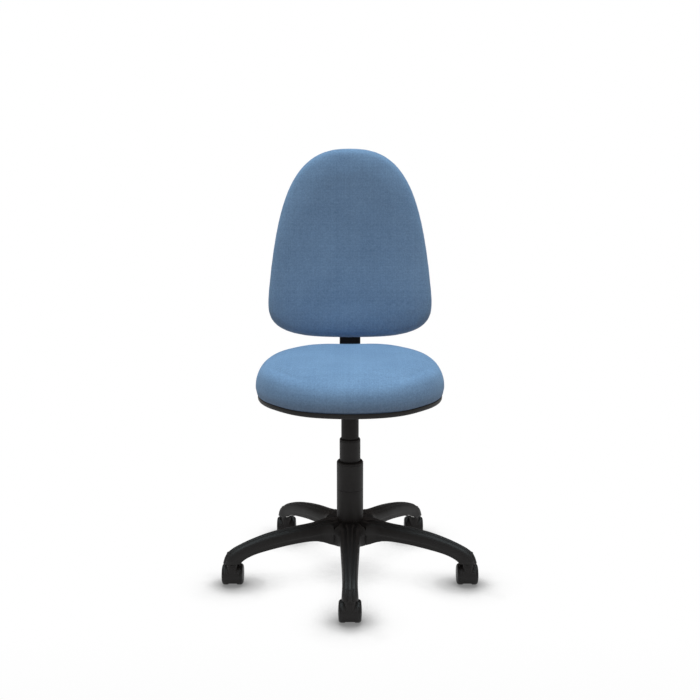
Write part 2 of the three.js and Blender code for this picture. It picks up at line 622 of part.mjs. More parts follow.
// ---------------------------------------------------------------- gas lift
function addGasLift() {
  const tubeFoot = STANDING_TUBE_RADIUS - STANDING_TUBE_TAPER;
  const plateTop = STANDING_TUBE_BOTTOM + BOTTOM_PLATE;
  const footBore = ROD_FOOT_RADIUS + GAP;
  addPiece('standing_tube', turned([
    [footBore, STANDING_TUBE_BOTTOM],
    [tubeFoot, STANDING_TUBE_BOTTOM],
    [STANDING_TUBE_RADIUS, HUB_TOP],
    [STANDING_TUBE_RADIUS, STANDING_TUBE_TOP],
    [STANDING_TUBE_INNER, STANDING_TUBE_TOP],
    [STANDING_TUBE_INNER, HUB_TOP],
    [STANDING_TUBE_INNER - STANDING_TUBE_TAPER, plateTop],
    [footBore, plateTop],
    [footBore, STANDING_TUBE_BOTTOM],
  ], MEDIUM), BLACK_STEEL);

  const bearingTop = BEARING_BOTTOM + BEARING_HEIGHT;
  addPiece('thrust_bearing', ring(footBore, BEARING_RADIUS, BEARING_BOTTOM, bearingTop, COARSE), STEEL);
  const clipTop = STANDING_TUBE_BOTTOM - GAP;
  addPiece('rod_clip', ring(footBore, CLIP_RADIUS, clipTop - CLIP_HEIGHT, clipTop, COARSE), STEEL);

  const bushBore = PRESSURE_TUBE_RADIUS + GAP;
  const bushOuter = STANDING_TUBE_INNER - GAP;
  const flangeBottom = STANDING_TUBE_TOP + GAP;
  const bushBottom = flangeBottom - BUSH_LENGTH;
  addPiece('guide_bush', turned([
    [bushBore, bushBottom],
    [bushOuter, bushBottom],
    [bushOuter, flangeBottom],
    [STANDING_TUBE_RADIUS - GAP, flangeBottom],
    [STANDING_TUBE_RADIUS - GAP, flangeBottom + BUSH_FLANGE_HEIGHT],
    [bushBore, flangeBottom + BUSH_FLANGE_HEIGHT],
    [bushBore, bushBottom],
  ], MEDIUM), NYLON);

  const tubeInner = PRESSURE_TUBE_RADIUS - PRESSURE_TUBE_WALL;
  const ringTop = PRESSURE_TUBE_BOTTOM + END_RING;
  const plugBottom = PRESSURE_TUBE_TOP - VALVE_PLUG;
  addPiece('pressure_tube', turned([
    [ROD_RADIUS + GAP, PRESSURE_TUBE_BOTTOM],
    [PRESSURE_TUBE_RADIUS, PRESSURE_TUBE_BOTTOM],
    [PRESSURE_TUBE_RADIUS, PRESSURE_TUBE_TOP],
    [PIN_RADIUS + GAP, PRESSURE_TUBE_TOP],
    [PIN_RADIUS + GAP, plugBottom],
    [tubeInner, plugBottom],
    [tubeInner, ringTop],
    [ROD_RADIUS + GAP, ringTop],
    [ROD_RADIUS + GAP, PRESSURE_TUBE_BOTTOM],
  ], MEDIUM), BLACK_STEEL);

  const pistonBottom = ringTop + PISTON_END_STOP;
  const pistonRadius = tubeInner - PISTON_CLEARANCE;
  addPiece('piston_rod', turned([
    [0, STANDING_TUBE_BOTTOM - ROD_FOOT_DROP],
    [ROD_FOOT_RADIUS, STANDING_TUBE_BOTTOM - ROD_FOOT_DROP],
    [ROD_FOOT_RADIUS, ROD_SHOULDER],
    [ROD_RADIUS, ROD_SHOULDER],
    [ROD_RADIUS, pistonBottom],
    [pistonRadius, pistonBottom],
    [pistonRadius, pistonBottom + PISTON_HEIGHT],
    [0, pistonBottom + PISTON_HEIGHT],
  ], MEDIUM), CHROME);
  addPiece('release_pin', uprightRod(PIN_RADIUS, PIN_TOP - PIN_LENGTH, PIN_TOP, COARSE), STEEL);
}

// One stage of the column cover, with a chamfered collar whose lip guides the next stage.
function coverStage(radius, bottom, top, flangeRadius, lipRadius) {
  const inner = radius - COVER_WALL;
  return turned([
    [inner, bottom],
    [flangeRadius, bottom],
    [flangeRadius, bottom + COVER_FLANGE],
    [radius, bottom + COVER_FLANGE],
    [radius, top - COVER_CHAMFER],
    [radius - COVER_CHAMFER / 2, top],
    [lipRadius, top],
    [lipRadius, top - COVER_FLANGE / 2],
    [inner, top - COVER_FLANGE],
    [inner, bottom],
  ], FINE);
}

function addColumnCovers() {
  const flangeInside = (radius) => radius - COVER_WALL - COVER_SLIDE;
  const lowerBottom = HUB_TOP + GAP;
  const lowerLip = MIDDLE_COVER_RADIUS + COVER_SLIDE;
  const middleLip = UPPER_COVER_RADIUS + COVER_SLIDE;
  addPiece('column_cover_lower', coverStage(
    LOWER_COVER_RADIUS, lowerBottom, LOWER_COVER_TOP,
    LOWER_COVER_RADIUS + LOWER_COVER_FOOT, lowerLip,
  ), NYLON);
  addPiece('column_cover_middle', coverStage(
    MIDDLE_COVER_RADIUS, MIDDLE_COVER_BOTTOM, MIDDLE_COVER_TOP,
    flangeInside(LOWER_COVER_RADIUS), middleLip,
  ), NYLON);
  const upperInner = UPPER_COVER_RADIUS - COVER_WALL;
  const upperTop = HOUSING_BOTTOM - GAP;
  const flangeTop = UPPER_COVER_BOTTOM + COVER_FLANGE;
  addPiece('column_cover_upper', turned([
    [upperInner, UPPER_COVER_BOTTOM],
    [flangeInside(MIDDLE_COVER_RADIUS), UPPER_COVER_BOTTOM],
    [flangeInside(MIDDLE_COVER_RADIUS), flangeTop],
    [UPPER_COVER_RADIUS, flangeTop],
    [UPPER_COVER_RADIUS, upperTop],
    [upperInner, upperTop],
    [upperInner, UPPER_COVER_BOTTOM],
  ], FINE), NYLON);
}

// ---------------------------------------------------------------- seat mechanism
function housingGeometry() {
  const half = HOUSING_WIDTH / 2;
  const innerHalf = half - HOUSING_WALL;
  const above = HOUSING_TOP + OVERCUT;
  const floor = HOUSING_BOTTOM + HOUSING_WALL;
  const window = BAR_WIDTH / 2 + REAR_WINDOW_PLAY;
  const notch = LEVER_RADIUS + GAP;
  const socketBore = PRESSURE_TUBE_RADIUS + GAP;
  const innerLength = [HOUSING_FRONT + HOUSING_WALL, HOUSING_REAR - HOUSING_WALL];
  const socketOuter = socketBore + SOCKET_WALL;
  const tray = combine(
    [box([-half, half], [HOUSING_FRONT, HOUSING_REAR], [HOUSING_BOTTOM, HOUSING_TOP])],
    [box([-innerHalf, innerHalf], innerLength, [floor, above])],
  );
  const socket = uprightRod(socketOuter, HOUSING_BOTTOM + OVERCUT, floor + SOCKET_HEIGHT, MEDIUM);
  const axleHole = crossRod(TILT_AXLE_RADIUS + GAP, -half - OVERCUT, half + OVERCUT, MEDIUM);
  return combine([tray, socket], [
    uprightRod(socketBore, HOUSING_BOTTOM - OVERCUT, above, MEDIUM),
    box([-window, window], [HOUSING_REAR - 2 * HOUSING_WALL, HOUSING_REAR + OVERCUT],
      [HOUSING_BOTTOM + REAR_WINDOW_SILL, above]),
    box([innerHalf - OVERCUT, half + OVERCUT], [-notch, notch], [LEVER_HEIGHT - notch, above]),
    axleHole.translate(0, TILT_AXLE_BEHIND, TILT_AXLE_HEIGHT),
  ]);
}

function roundedRectangle(xLow, xHigh, yLow, yHigh, radius) {
  const shape = new THREE.Shape();
  shape.absarc(xHigh - radius, yHigh - radius, radius, 0, Math.PI / 2);
  shape.absarc(xLow + radius, yHigh - radius, radius, Math.PI / 2, Math.PI);
  shape.absarc(xLow + radius, yLow + radius, radius, Math.PI, 1.5 * Math.PI);
  shape.absarc(xHigh - radius, yLow + radius, radius, 1.5 * Math.PI, 2 * Math.PI);
  return shape;
}

const SEAT_SCREW_PLACES = [-1, 1].flatMap((side) => {
  const x = side * (PLATE_WIDTH / 2 - SEAT_SCREW_SIDE);
  return [[x, PLATE_FRONT + SEAT_SCREW_END], [x, PLATE_REAR - SEAT_SCREW_END]];
});

function seatScrewHoles(bottom, top) {
  return SEAT_SCREW_PLACES.map(([x, y]) => {
    return uprightRod(SCREW_RADIUS + GAP, bottom, top, COARSE).translate(x, y, 0);
  });
}

// A screw with its head below the given height and its shank above it.
function screwGeometry(headTop, shankTop) {
  return turned([
    [0, headTop - SCREW_HEAD_HEIGHT],
    [SCREW_HEAD_RADIUS, headTop - SCREW_HEAD_HEIGHT],
    [SCREW_HEAD_RADIUS, headTop],
    [SCREW_RADIUS, headTop],
    [SCREW_RADIUS, shankTop],
    [0, shankTop],
  ], COARSE);
}

// A bent rod along a path of straight stretches with rounded corners.
function bentRod(points, cornerRadius) {
  const path = new THREE.CurvePath();
  let start = points[0];
  for (let i = 1; i < points.length - 1; i++) {
    const corner = points[i];
    const before = corner.clone().sub(start).setLength(cornerRadius);
    const after = points[i + 1].clone().sub(corner).setLength(cornerRadius);
    const bendStart = corner.clone().sub(before);
    const bendEnd = corner.clone().add(after);
    path.add(new THREE.LineCurve3(start, bendStart));
    path.add(new THREE.QuadraticBezierCurve3(bendStart, corner, bendEnd));
    start = bendEnd;
  }
  path.add(new THREE.LineCurve3(start, points.at(-1)));
  const section = new THREE.Shape();
  section.absarc(0, 0, LEVER_RADIUS, 0, 2 * Math.PI);
  const options = { steps: LEVER_STEPS, extrudePath: path, bevelEnabled: false, curveSegments: 4 };
  return new THREE.ExtrudeGeometry(section, options);
}

// A flat grip on the end of a lever that runs along X, with a blind bore for the rod.
function gripGeometry(side, y, z) {
  const outer = LEVER_REACH;
  const inner = LEVER_REACH - GRIP_LENGTH;
  const shape = roundedRectangle(inner, outer, -GRIP_WIDTH / 2, GRIP_WIDTH / 2, GRIP_WIDTH / 3);
  const paddle = new THREE.ExtrudeGeometry(shape, {
    depth: GRIP_THICKNESS - 2 * GRIP_EDGE,
    bevelEnabled: true,
    bevelThickness: GRIP_EDGE,
    bevelSize: GRIP_EDGE,
    bevelOffset: -GRIP_EDGE,
    bevelSegments: 1,
    curveSegments: 4,
  });
  paddle.translate(0, 0, GRIP_EDGE - GRIP_THICKNESS / 2);
  const bore = crossRod(LEVER_RADIUS + GAP, inner - OVERCUT, outer - GRIP_LENGTH / 3, COARSE);
  const grip = combine([paddle], [bore]);
  return grip.rotateZ(side < 0 ? Math.PI : 0).translate(0, y, z);
}

function addLiftLever() {
  const rodEnd = LEVER_REACH - GRIP_LENGTH / 3 - GAP;
  const gripHeight = LEVER_HEIGHT - LEVER_DROP;
  const outside = HOUSING_WIDTH / 2 + LEVER_STRAIGHT;
  addPiece('lift_lever', bentRod([
    new THREE.Vector3(-LEVER_RADIUS, 0, LEVER_HEIGHT),
    new THREE.Vector3(outside, 0, LEVER_HEIGHT),
    new THREE.Vector3(outside + LEVER_SLOPE * LEVER_DROP, 0, gripHeight),
    new THREE.Vector3(rodEnd, 0, gripHeight),
  ], LEVER_BEND), BLACK_STEEL);
  addPiece('lift_lever_grip', gripGeometry(1, 0, gripHeight), NYLON);
}

function addTiltLever() {
  const hubOuter = -HOUSING_WIDTH / 2 - GAP - LEVER_HUB_WIDTH;
  const hubInner = -HOUSING_WIDTH / 2 - GAP;
  const hubMiddle = (hubOuter + hubInner) / 2;
  const gripY = TILT_AXLE_BEHIND - TILT_LEVER_FORWARD;
  const rodEnd = -(LEVER_REACH - GRIP_LENGTH / 3 - GAP);
  const armStart = TILT_AXLE_BEHIND - TILT_AXLE_RADIUS - TILT_ARM_START;
  const arm = bentRod([
    new THREE.Vector3(hubMiddle, armStart, TILT_AXLE_HEIGHT),
    new THREE.Vector3(hubMiddle, gripY, TILT_AXLE_HEIGHT),
    new THREE.Vector3(rodEnd, gripY, TILT_AXLE_HEIGHT),
  ], LEVER_BEND);
  const hub = crossRod(LEVER_HUB_RADIUS, hubOuter, hubInner, MEDIUM);
  const bore = crossRod(TILT_AXLE_RADIUS + GAP, hubOuter - OVERCUT, hubInner + OVERCUT, MEDIUM);
  for (const geometry of [hub, bore]) {
    geometry.translate(0, TILT_AXLE_BEHIND, TILT_AXLE_HEIGHT);
  }
  addPiece('tilt_lever', combine([hub, arm], [bore]), BLACK_STEEL);
  addPiece('tilt_lever_grip', gripGeometry(-1, gripY, TILT_AXLE_HEIGHT), NYLON);
}

function addTiltAxle() {
  const half = HOUSING_WIDTH / 2;
  const left = -half - GAP - LEVER_HUB_WIDTH;
  const headBottom = half + GAP;
  const axle = turned([
    [0, left],
    [TILT_AXLE_RADIUS, left],
    [TILT_AXLE_RADIUS, headBottom],
    [TILT_AXLE_HEAD, headBottom],
    [TILT_AXLE_HEAD, headBottom + AXLE_HEAD_THICKNESS],
    [0, headBottom + AXLE_HEAD_THICKNESS],
  ], MEDIUM);
  axle.rotateY(Math.PI / 2).translate(0, TILT_AXLE_BEHIND, TILT_AXLE_HEIGHT);
  addPiece('tilt_axle', axle, STEEL);
}

function addMechanism() {
  addPiece('mechanism_housing', housingGeometry(), BLACK_STEEL);
  const half = PLATE_WIDTH / 2;
  const plateShape = roundedRectangle(-half, half, PLATE_FRONT, PLATE_REAR, PLATE_CORNER);
  const plate = new THREE.ExtrudeGeometry(plateShape, {
    depth: PLATE_THICKNESS, bevelEnabled: false, curveSegments: 4,
  });
  plate.translate(0, 0, PLATE_BOTTOM);
  const plateHoles = seatScrewHoles(PLATE_BOTTOM - OVERCUT, PLATE_BOTTOM + PLATE_THICKNESS + OVERCUT);
  addPiece('mechanism_plate', combine([plate], plateHoles), BLACK_STEEL);
  SEAT_SCREW_PLACES.forEach(([x, y], index) => {
    const screw = screwGeometry(PLATE_BOTTOM - GAP, SEAT_BOARD_BOTTOM + SCREW_IN_BOARD);
    addPiece(`seat_screw_${index + 1}`, screw.translate(x, y, 0), STEEL);
  });
  addLiftLever();
  addTiltLever();
  addTiltAxle();
}

// ---------------------------------------------------------------- seat
// How much of its height the seat cushion keeps at a given Y: the front edge falls away.
function seatHeightShare(y) {
  const start = SEAT_WIDEST_Y - WATERFALL_START;
  const end = SEAT_WIDEST_Y - SEAT_FRONT_REACH;
  return 1 - WATERFALL_DROP * THREE.MathUtils.smoothstep((start - y) / (start - end), 0, 1);
}

// Rings of a cushion's outline, each given as [height above its base, inset].
function cushionRings(spec, profile, roll) {
  return profile.map(([height, inset]) => {
    return cushionOutline(spec, inset, roll).map((point) => new THREE.Vector3(point.x, point.y, height));
  });
}

function seatCushionGeometry() {
  const full = SEAT_CUSHION_HEIGHT;
  const profile = [
    [0, 5],
    [0.18 * full, 0],
    [0.53 * full, 3],
    [0.77 * full, 12],
    [0.92 * full, 28],
    [0.98 * full, 52],
    [full, 92],
  ];
  const rings = cushionRings(SEAT_OUTLINE, profile, { low: 1, high: SEAT_REAR_ROLL });
  for (const point of rings.flat()) {
    point.y += SEAT_WIDEST_Y;
    point.z = SEAT_CUSHION_BOTTOM + point.z * seatHeightShare(point.y);
  }
  return loft(rings);
}

function addSeat() {
  const boardTop = SEAT_BOARD_BOTTOM + BOARD_THICKNESS;
  const board = outlinePlate(SEAT_OUTLINE, BOARD_INSET, SEAT_BOARD_BOTTOM, boardTop);
  const boardHoles = seatScrewHoles(SEAT_BOARD_BOTTOM - OVERCUT, boardTop - SCREW_COVER);
  const tray = outlineTray(SEAT_OUTLINE, SEAT_SHELL_INSET, SEAT_SHELL_BOTTOM, boardTop);
  const padBottom = SEAT_SHELL_BOTTOM - ARM_PAD.height;
  const armPads = [-1, 1].map((side) => {
    const xMiddle = side * (SEAT_WIDTH / 2 - ARM_PAD.fromEdge);
    return box(
      [xMiddle - ARM_PAD.width / 2, xMiddle + ARM_PAD.width / 2],
      [ARM_PAD.y - ARM_PAD.length / 2, ARM_PAD.y + ARM_PAD.length / 2],
      [padBottom, SEAT_SHELL_BOTTOM + OVERCUT],
    );
  });
  const shellHoles = seatScrewHoles(SEAT_SHELL_BOTTOM - OVERCUT, SEAT_SHELL_BOTTOM + SHELL_WALL + OVERCUT);
  for (const geometry of [board, tray]) {
    geometry.translate(0, SEAT_WIDEST_Y, 0);
  }
  addPiece('seat_board', combine([board], boardHoles), PLYWOOD);
  addPiece('seat_shell', combine([tray, ...armPads], shellHoles), NYLON);
  addPiece('seat_cushion', seatCushionGeometry(), FABRIC);
}

// ---------------------------------------------------------------- back
// The flat bar runs back from the tilt axle, bends up and leans back with the recline.
function backBarGeometry() {
  const half = BAR_THICKNESS / 2;
  const rise = (BACK_PLANE_Z - TILT_AXLE_HEIGHT) / Math.cos(RECLINE);
  const cornerY = BACK_PLANE_Y - rise * Math.sin(RECLINE);
  const turn = Math.PI / 2 - RECLINE;
  const tangent = BAR_BEND_RADIUS * Math.tan(turn / 2);
  const bendY = cornerY - tangent;
  const bendZ = TILT_AXLE_HEIGHT + BAR_BEND_RADIUS;
  const upright = rise - tangent + BAR_TOP;
  const topPoint = (radius) => [
    bendY + radius * Math.cos(RECLINE) + upright * Math.sin(RECLINE),
    bendZ - radius * Math.sin(RECLINE) + upright * Math.cos(RECLINE),
  ];
  const shape = new THREE.Shape();
  shape.moveTo(TILT_AXLE_BEHIND, TILT_AXLE_HEIGHT - half);
  shape.absarc(bendY, bendZ, BAR_BEND_RADIUS + half, -Math.PI / 2, -RECLINE, false);
  shape.lineTo(...topPoint(BAR_BEND_RADIUS + half));
  shape.lineTo(...topPoint(BAR_BEND_RADIUS - half));
  shape.absarc(bendY, bendZ, BAR_BEND_RADIUS - half, -RECLINE, -Math.PI / 2, true);
  shape.lineTo(TILT_AXLE_BEHIND, TILT_AXLE_HEIGHT + half);
  const bar = extrudeAcross(shape, BAR_WIDTH, 8);
  const hub = crossRod(BAR_HUB_RADIUS, -BAR_HUB_WIDTH / 2, BAR_HUB_WIDTH / 2, MEDIUM);
  const bore = crossRod(TILT_AXLE_RADIUS + GAP, -BAR_HUB_WIDTH, BAR_HUB_WIDTH, MEDIUM);
  for (const geometry of [hub, bore]) {
    geometry.translate(0, TILT_AXLE_BEHIND, TILT_AXLE_HEIGHT);
  }
  return combine([bar, hub], [bore]);
}

// A sleeve round the bar: walls of the given front, rear and side thickness.
function barSleeve(front, rear, side, bottom, top) {
  const innerX = BAR_WIDTH / 2 + GAP;
  const innerY = BAR_THICKNESS / 2 + GAP;
  return combine(
    [box([-innerX - side, innerX + side], [-innerY - front, innerY + rear], [bottom, top])],
    [box([-innerX, innerX], [-innerY, innerY], [bottom - OVERCUT, top + OVERCUT])],
  );
}

function alongY(geometry) {
  return geometry.rotateX(-Math.PI / 2);
}

function bracketGeometry() {
  const body = barSleeve(BRACKET_WALL, BRACKET_WALL, BRACKET_SIDE, BRACKET_BOTTOM, BRACKET_TOP);
  const earBottom = BACK_SCREW_HEIGHT - BRACKET_EAR / 2;
  const earTop = BACK_SCREW_HEIGHT + BRACKET_EAR / 2;
  const earOuter = BACK_SCREW_X + BRACKET_EAR / 2;
  const bodyRear = BAR_THICKNESS / 2 + GAP + BRACKET_WALL;
  const bossRear = bodyRear + BRACKET_BOSS_HEIGHT;
  const boss = alongY(uprightRod(BRACKET_BOSS_RADIUS, bodyRear - OVERCUT, bossRear, MEDIUM));
  const studBore = alongY(uprightRod(STUD_RADIUS + GAP, BAR_THICKNESS / 2, bossRear + OVERCUT, COARSE));
  const ears = [-1, 1].map((side) => {
    const [inner, outer] = [side * (BAR_WIDTH / 2 + BRACKET_SIDE - OVERCUT), side * earOuter];
    const earRange = [Math.min(inner, outer), Math.max(inner, outer)];
    return box(earRange, [-BRACKET_FRONT, -BRACKET_FRONT + BRACKET_WALL], [earBottom, earTop]);
  });
  const screwBores = [-1, 1].map((side) => {
    const bore = alongY(uprightRod(SCREW_RADIUS + GAP, -BRACKET_FRONT - OVERCUT, 0, COARSE));
    return bore.translate(side * BACK_SCREW_X, 0, BACK_SCREW_HEIGHT);
  });
  boss.translate(0, 0, KNOB_HEIGHT);
  studBore.translate(0, 0, KNOB_HEIGHT);
  return combine([body, boss, ...ears], [studBore, ...screwBores]);
}

// A lobed knob whose stud reaches the bar.
function knobGeometry() {
  const knobFront = BAR_THICKNESS / 2 + GAP + BRACKET_WALL + BRACKET_BOSS_HEIGHT + GAP;
  const points = [];
  const count = KNOB_LOBES * KNOB_LOBE_POINTS;
  for (let i = 0; i < count; i++) {
    const angle = (2 * Math.PI * i) / count;
    const radius = KNOB_RADIUS - KNOB_LOBE_DEPTH * (1 - Math.cos(KNOB_LOBES * angle)) / 2;
    points.push(new THREE.Vector2(radius * Math.cos(angle), radius * Math.sin(angle)));
  }
  const head = new THREE.ExtrudeGeometry(new THREE.Shape(points), {
    depth: KNOB_THICKNESS, bevelEnabled: false,
  });
  const stud = uprightRod(STUD_RADIUS, BAR_THICKNESS / 2 + GAP, knobFront + OVERCUT, COARSE);
  return alongY(combine([head.translate(0, 0, knobFront), stud])).translate(0, 0, KNOB_HEIGHT);
}

// Turns a solid built up along +Z into one built forward from the back's plane.
function facingForward(geometry, backDistance) {
  const lowerEdgeToWidest = BACK_LOWER_EDGE + BACK_LOWER_REACH;
  return geometry.rotateX(Math.PI / 2).translate(0, -backDistance, lowerEdgeToWidest);
}

function backCushionGeometry() {
  const full = BACK_CUSHION_DEPTH;
  const profile = [
    [0, 6],
    [0.16 * full, 0],
    [0.58 * full, 1],
    [0.81 * full, 8],
    [0.95 * full, 22],
    [full, 50],
  ];
  const rings = cushionRings(BACK_OUTLINE, profile, { low: BACK_LOWER_ROLL, high: 1 });
  return facingForward(loft(rings), BACK_CUSHION_REAR);
}

function backScrewGeometry(side) {
  const screw = screwGeometry(0, BRACKET_WALL + SHELL_WALL + 2 * GAP + SCREW_IN_BOARD);
  const headFace = -BRACKET_FRONT + BRACKET_WALL + GAP;
  return screw.rotateX(Math.PI / 2).translate(side * BACK_SCREW_X, headFace, BACK_SCREW_HEIGHT);
}

function addBack() {
  addPiece('back_bar', backBarGeometry(), BLACK_STEEL);
  const back = new THREE.Group();
  back.position.set(0, BACK_PLANE_Y, BACK_PLANE_Z);
  back.rotation.x = -RECLINE;
  chair.add(back);
  const sleeve = barSleeve(SLEEVE_WALL, SLEEVE_WALL, SLEEVE_WALL, SLEEVE_BOTTOM, SLEEVE_TOP);
  addPiece('bar_sleeve', sleeve, NYLON, back);
  addPiece('back_bracket', bracketGeometry(), NYLON, back);
  addPiece('height_knob', knobGeometry(), NYLON, back);

  const screwHoles = [-1, 1].map((side) => {
    const bore = alongY(uprightRod(SCREW_RADIUS + GAP, SCREW_COVER - BACK_CUSHION_REAR, 0, COARSE));
    return bore.translate(side * BACK_SCREW_X, 0, BACK_SCREW_HEIGHT);
  });
  const board = outlinePlate(BACK_OUTLINE, BOARD_INSET, 0, BOARD_THICKNESS);
  const shellDepth = SHELL_WALL + GAP + BOARD_THICKNESS;
  const shell = outlineTray(BACK_OUTLINE, BACK_SHELL_INSET, 0, shellDepth);
  addPiece('back_board', combine([facingForward(board, BACK_BOARD_REAR)], screwHoles), PLYWOOD, back);
  addPiece('back_shell', combine([facingForward(shell, BACK_SHELL_REAR)], screwHoles), NYLON, back);
  addPiece('back_cushion', backCushionGeometry(), FABRIC, back);
  for (const [name, side] of [['back_screw_left', -1], ['back_screw_right', 1]]) {
    addPiece(name, backScrewGeometry(side), STEEL, back);
  }
}

addPiece('star_base', starBaseGeometry(), NYLON);
for (let number = 1; number <= LEG_COUNT; number++) {
  addCaster(number);
}
addGasLift();
addColumnCovers();
addMechanism();
addSeat();
addBack();

export default chair;
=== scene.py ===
"""Swivel office chair: the looks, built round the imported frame. Metres, +Z up, the sitter faces -Y."""
import json
import math

import bmesh
import bpy
import numpy as np
from mathutils import Matrix, Vector


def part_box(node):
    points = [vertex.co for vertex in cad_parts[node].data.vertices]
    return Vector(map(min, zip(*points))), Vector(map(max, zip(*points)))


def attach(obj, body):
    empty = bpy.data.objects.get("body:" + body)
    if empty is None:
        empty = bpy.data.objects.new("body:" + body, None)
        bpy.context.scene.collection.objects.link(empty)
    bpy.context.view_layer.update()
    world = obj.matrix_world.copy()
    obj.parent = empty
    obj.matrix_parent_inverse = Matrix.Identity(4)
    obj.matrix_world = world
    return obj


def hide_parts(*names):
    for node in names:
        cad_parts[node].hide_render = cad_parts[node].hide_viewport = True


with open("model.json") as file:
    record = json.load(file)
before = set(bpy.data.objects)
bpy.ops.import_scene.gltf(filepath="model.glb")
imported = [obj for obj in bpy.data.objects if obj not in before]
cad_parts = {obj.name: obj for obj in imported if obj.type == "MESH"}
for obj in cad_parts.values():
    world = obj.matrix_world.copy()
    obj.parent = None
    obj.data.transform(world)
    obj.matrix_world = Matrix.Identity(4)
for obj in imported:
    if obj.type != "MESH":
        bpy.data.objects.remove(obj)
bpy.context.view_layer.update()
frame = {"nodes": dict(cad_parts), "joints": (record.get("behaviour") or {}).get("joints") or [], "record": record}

MM = 0.001
FINE = 64  # segments round a full turn
SHARP = 35.0  # degrees at an edge, above which it isn't shaded smooth
CASTERS = range(1, 6)
SIDES = {"left": -1, "right": 1}


def mm(*place):
    """A place given in millimetres."""
    return Vector(place) * MM


# ---------------------------------------------------------------- places from the frame
def span(node, axis):
    """Lowest and highest value of a CAD node along an axis."""
    low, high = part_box(node)
    return low[axis], high[axis]


def centre(node):
    low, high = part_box(node)
    return (low + high) / 2


def joint(name):
    return next(j for j in frame["joints"] if j["name"] == name)


BAR_DIRECTION = Vector(joint("back_height")["axis"]).normalized()
RECLINE = math.atan2(BAR_DIRECTION.y, BAR_DIRECTION.z)
BACK_PLANE = mm(0, 262, 540)  # where heights along the bar start
BACK = Matrix.Translation(BACK_PLANE) @ Matrix.Rotation(-RECLINE, 4, "X")
TILT_AXLE = mm(0, 85, 421)


# ---------------------------------------------------------------- curves in the plane
def smoothstep(low, high, value):
    """0 at low, 1 at high and smooth between them, for a number or an array."""
    t = np.clip((value - low) / (high - low), 0, 1)
    return t * t * (3 - 2 * t)


def lerp(a, b, share):
    return a + (b - a) * share


def rounded(points, radius, closed=False, steps=5):
    """A polyline with each inner corner turned into an arc. A point's third value is its own radius."""
    count = len(points)
    result = []
    for i, point in enumerate(points):
        here = Vector(point[:2])
        size = point[2] if len(point) > 2 else radius
        if (not closed and i in (0, count - 1)) or size <= 0:
            result.append(tuple(here))
            continue
        before = Vector(points[i - 1][:2]) - here
        after = Vector(points[(i + 1) % count][:2]) - here
        half = before.angle(after) / 2
        reach = min(size / math.tan(half), before.length / 2, after.length / 2)
        start = here + before.normalized() * reach
        end = here + after.normalized() * reach
        for step in range(steps + 1):
            t = step / steps
            bend = start * (1 - t) ** 2 + here * (2 * t * (1 - t)) + end * t ** 2
            result.append(tuple(bend))
    return result


def smooth_value(table, at):
    """A smooth curve through (place, value) pairs, read at one place."""
    places = [p for p, _ in table]
    values = [v for _, v in table]
    last = len(table) - 1
    at = min(max(at, places[0]), places[-1])
    i = max(k for k in range(last) if places[k] <= at)
    width = places[i + 1] - places[i]
    t = (at - places[i]) / width

    def slope(k):
        low, high = max(k - 1, 0), min(k + 1, last)
        return (values[high] - values[low]) / (places[high] - places[low])

    a, b = values[i], values[i + 1]
    m0, m1 = slope(i) * width, slope(i + 1) * width
    return ((2 * t ** 3 - 3 * t ** 2 + 1) * a + (t ** 3 - 2 * t ** 2 + t) * m0
            + (3 * t ** 2 - 2 * t ** 3) * b + (t ** 3 - t ** 2) * m1)


# ---------------------------------------------------------------- meshes
def add(name, data):
    """A new object in the scene."""
    made = bpy.data.objects.new(name, data)
    bpy.context.scene.collection.objects.link(made)
    return made


def shade(mesh, sharp=SHARP):
    """Makes a mesh smooth but for edges sharper than an angle."""
    mesh.shade_smooth()
    mesh.set_sharp_from_angle(angle=math.radians(sharp))
    return mesh


def write_mesh(work, mesh, sharp=SHARP):
    """Ends work on a bmesh: its result goes into the mesh."""
    work.to_mesh(mesh)
    work.free()
    return shade(mesh, sharp)


def add_object(name, vertices, faces, sharp=SHARP):
    """A new mesh object, welded, with its faces turned outwards."""
    mesh = bpy.data.meshes.new(name)
    mesh.from_pydata([tuple(v) for v in vertices], [], faces)
    work = bmesh.new()
    work.from_mesh(mesh)
    bmesh.ops.remove_doubles(work, verts=work.verts, dist=0.01 * MM)
    bmesh.ops.dissolve_degenerate(work, edges=work.edges, dist=0.001 * MM)
    bmesh.ops.recalc_face_normals(work, faces=work.faces)
    return add(name, write_mesh(work, mesh, sharp))


def loft(name, rings, closed_ends=True, sharp=SHARP):
    """A skin through rings of equally many points."""
    count = len(rings[0])
    vertices = [v for ring in rings for v in ring]
    last = len(vertices) - count
    faces = []
    for low in range(0, last, count):
        for i in range(count):
            j = (i + 1) % count
            faces.append((low + i, low + j, low + count + j, low + count + i))
    if closed_ends:
        faces += [tuple(range(count)), tuple(range(last, last + count))]
    return add_object(name, vertices, faces, sharp)


AIMS = {
    "Z": Matrix(),
    "X": Matrix.Rotation(math.pi / 2, 4, "Y"),
    "Y": Matrix.Rotation(-math.pi / 2, 4, "X"),
}


def turned(name, profile, place=(0, 0, 0), axis="Z", segments=FINE):
    """A solid of revolution. The profile is a closed list of (radius, height) in millimetres."""
    turns = [2 * math.pi * k / segments for k in range(segments)]
    rings = [[mm(r * math.cos(a), r * math.sin(a), h) for a in turns] for r, h in [*profile, profile[0]]]
    piece = loft(name, rings, closed_ends=False)
    piece.data.transform(Matrix.Translation(Vector(place)) @ AIMS[axis])
    return piece


def turned_ring(name, corners, edge, *where, steps=3):
    """A solid of revolution whose profile has rounded corners."""
    return turned(name, rounded(corners, edge, closed=True, steps=steps), *where)


def rod(name, radius, low, high, *where):
    return turned(name, [(0, low), (radius, low), (radius, high), (0, high)], *where)


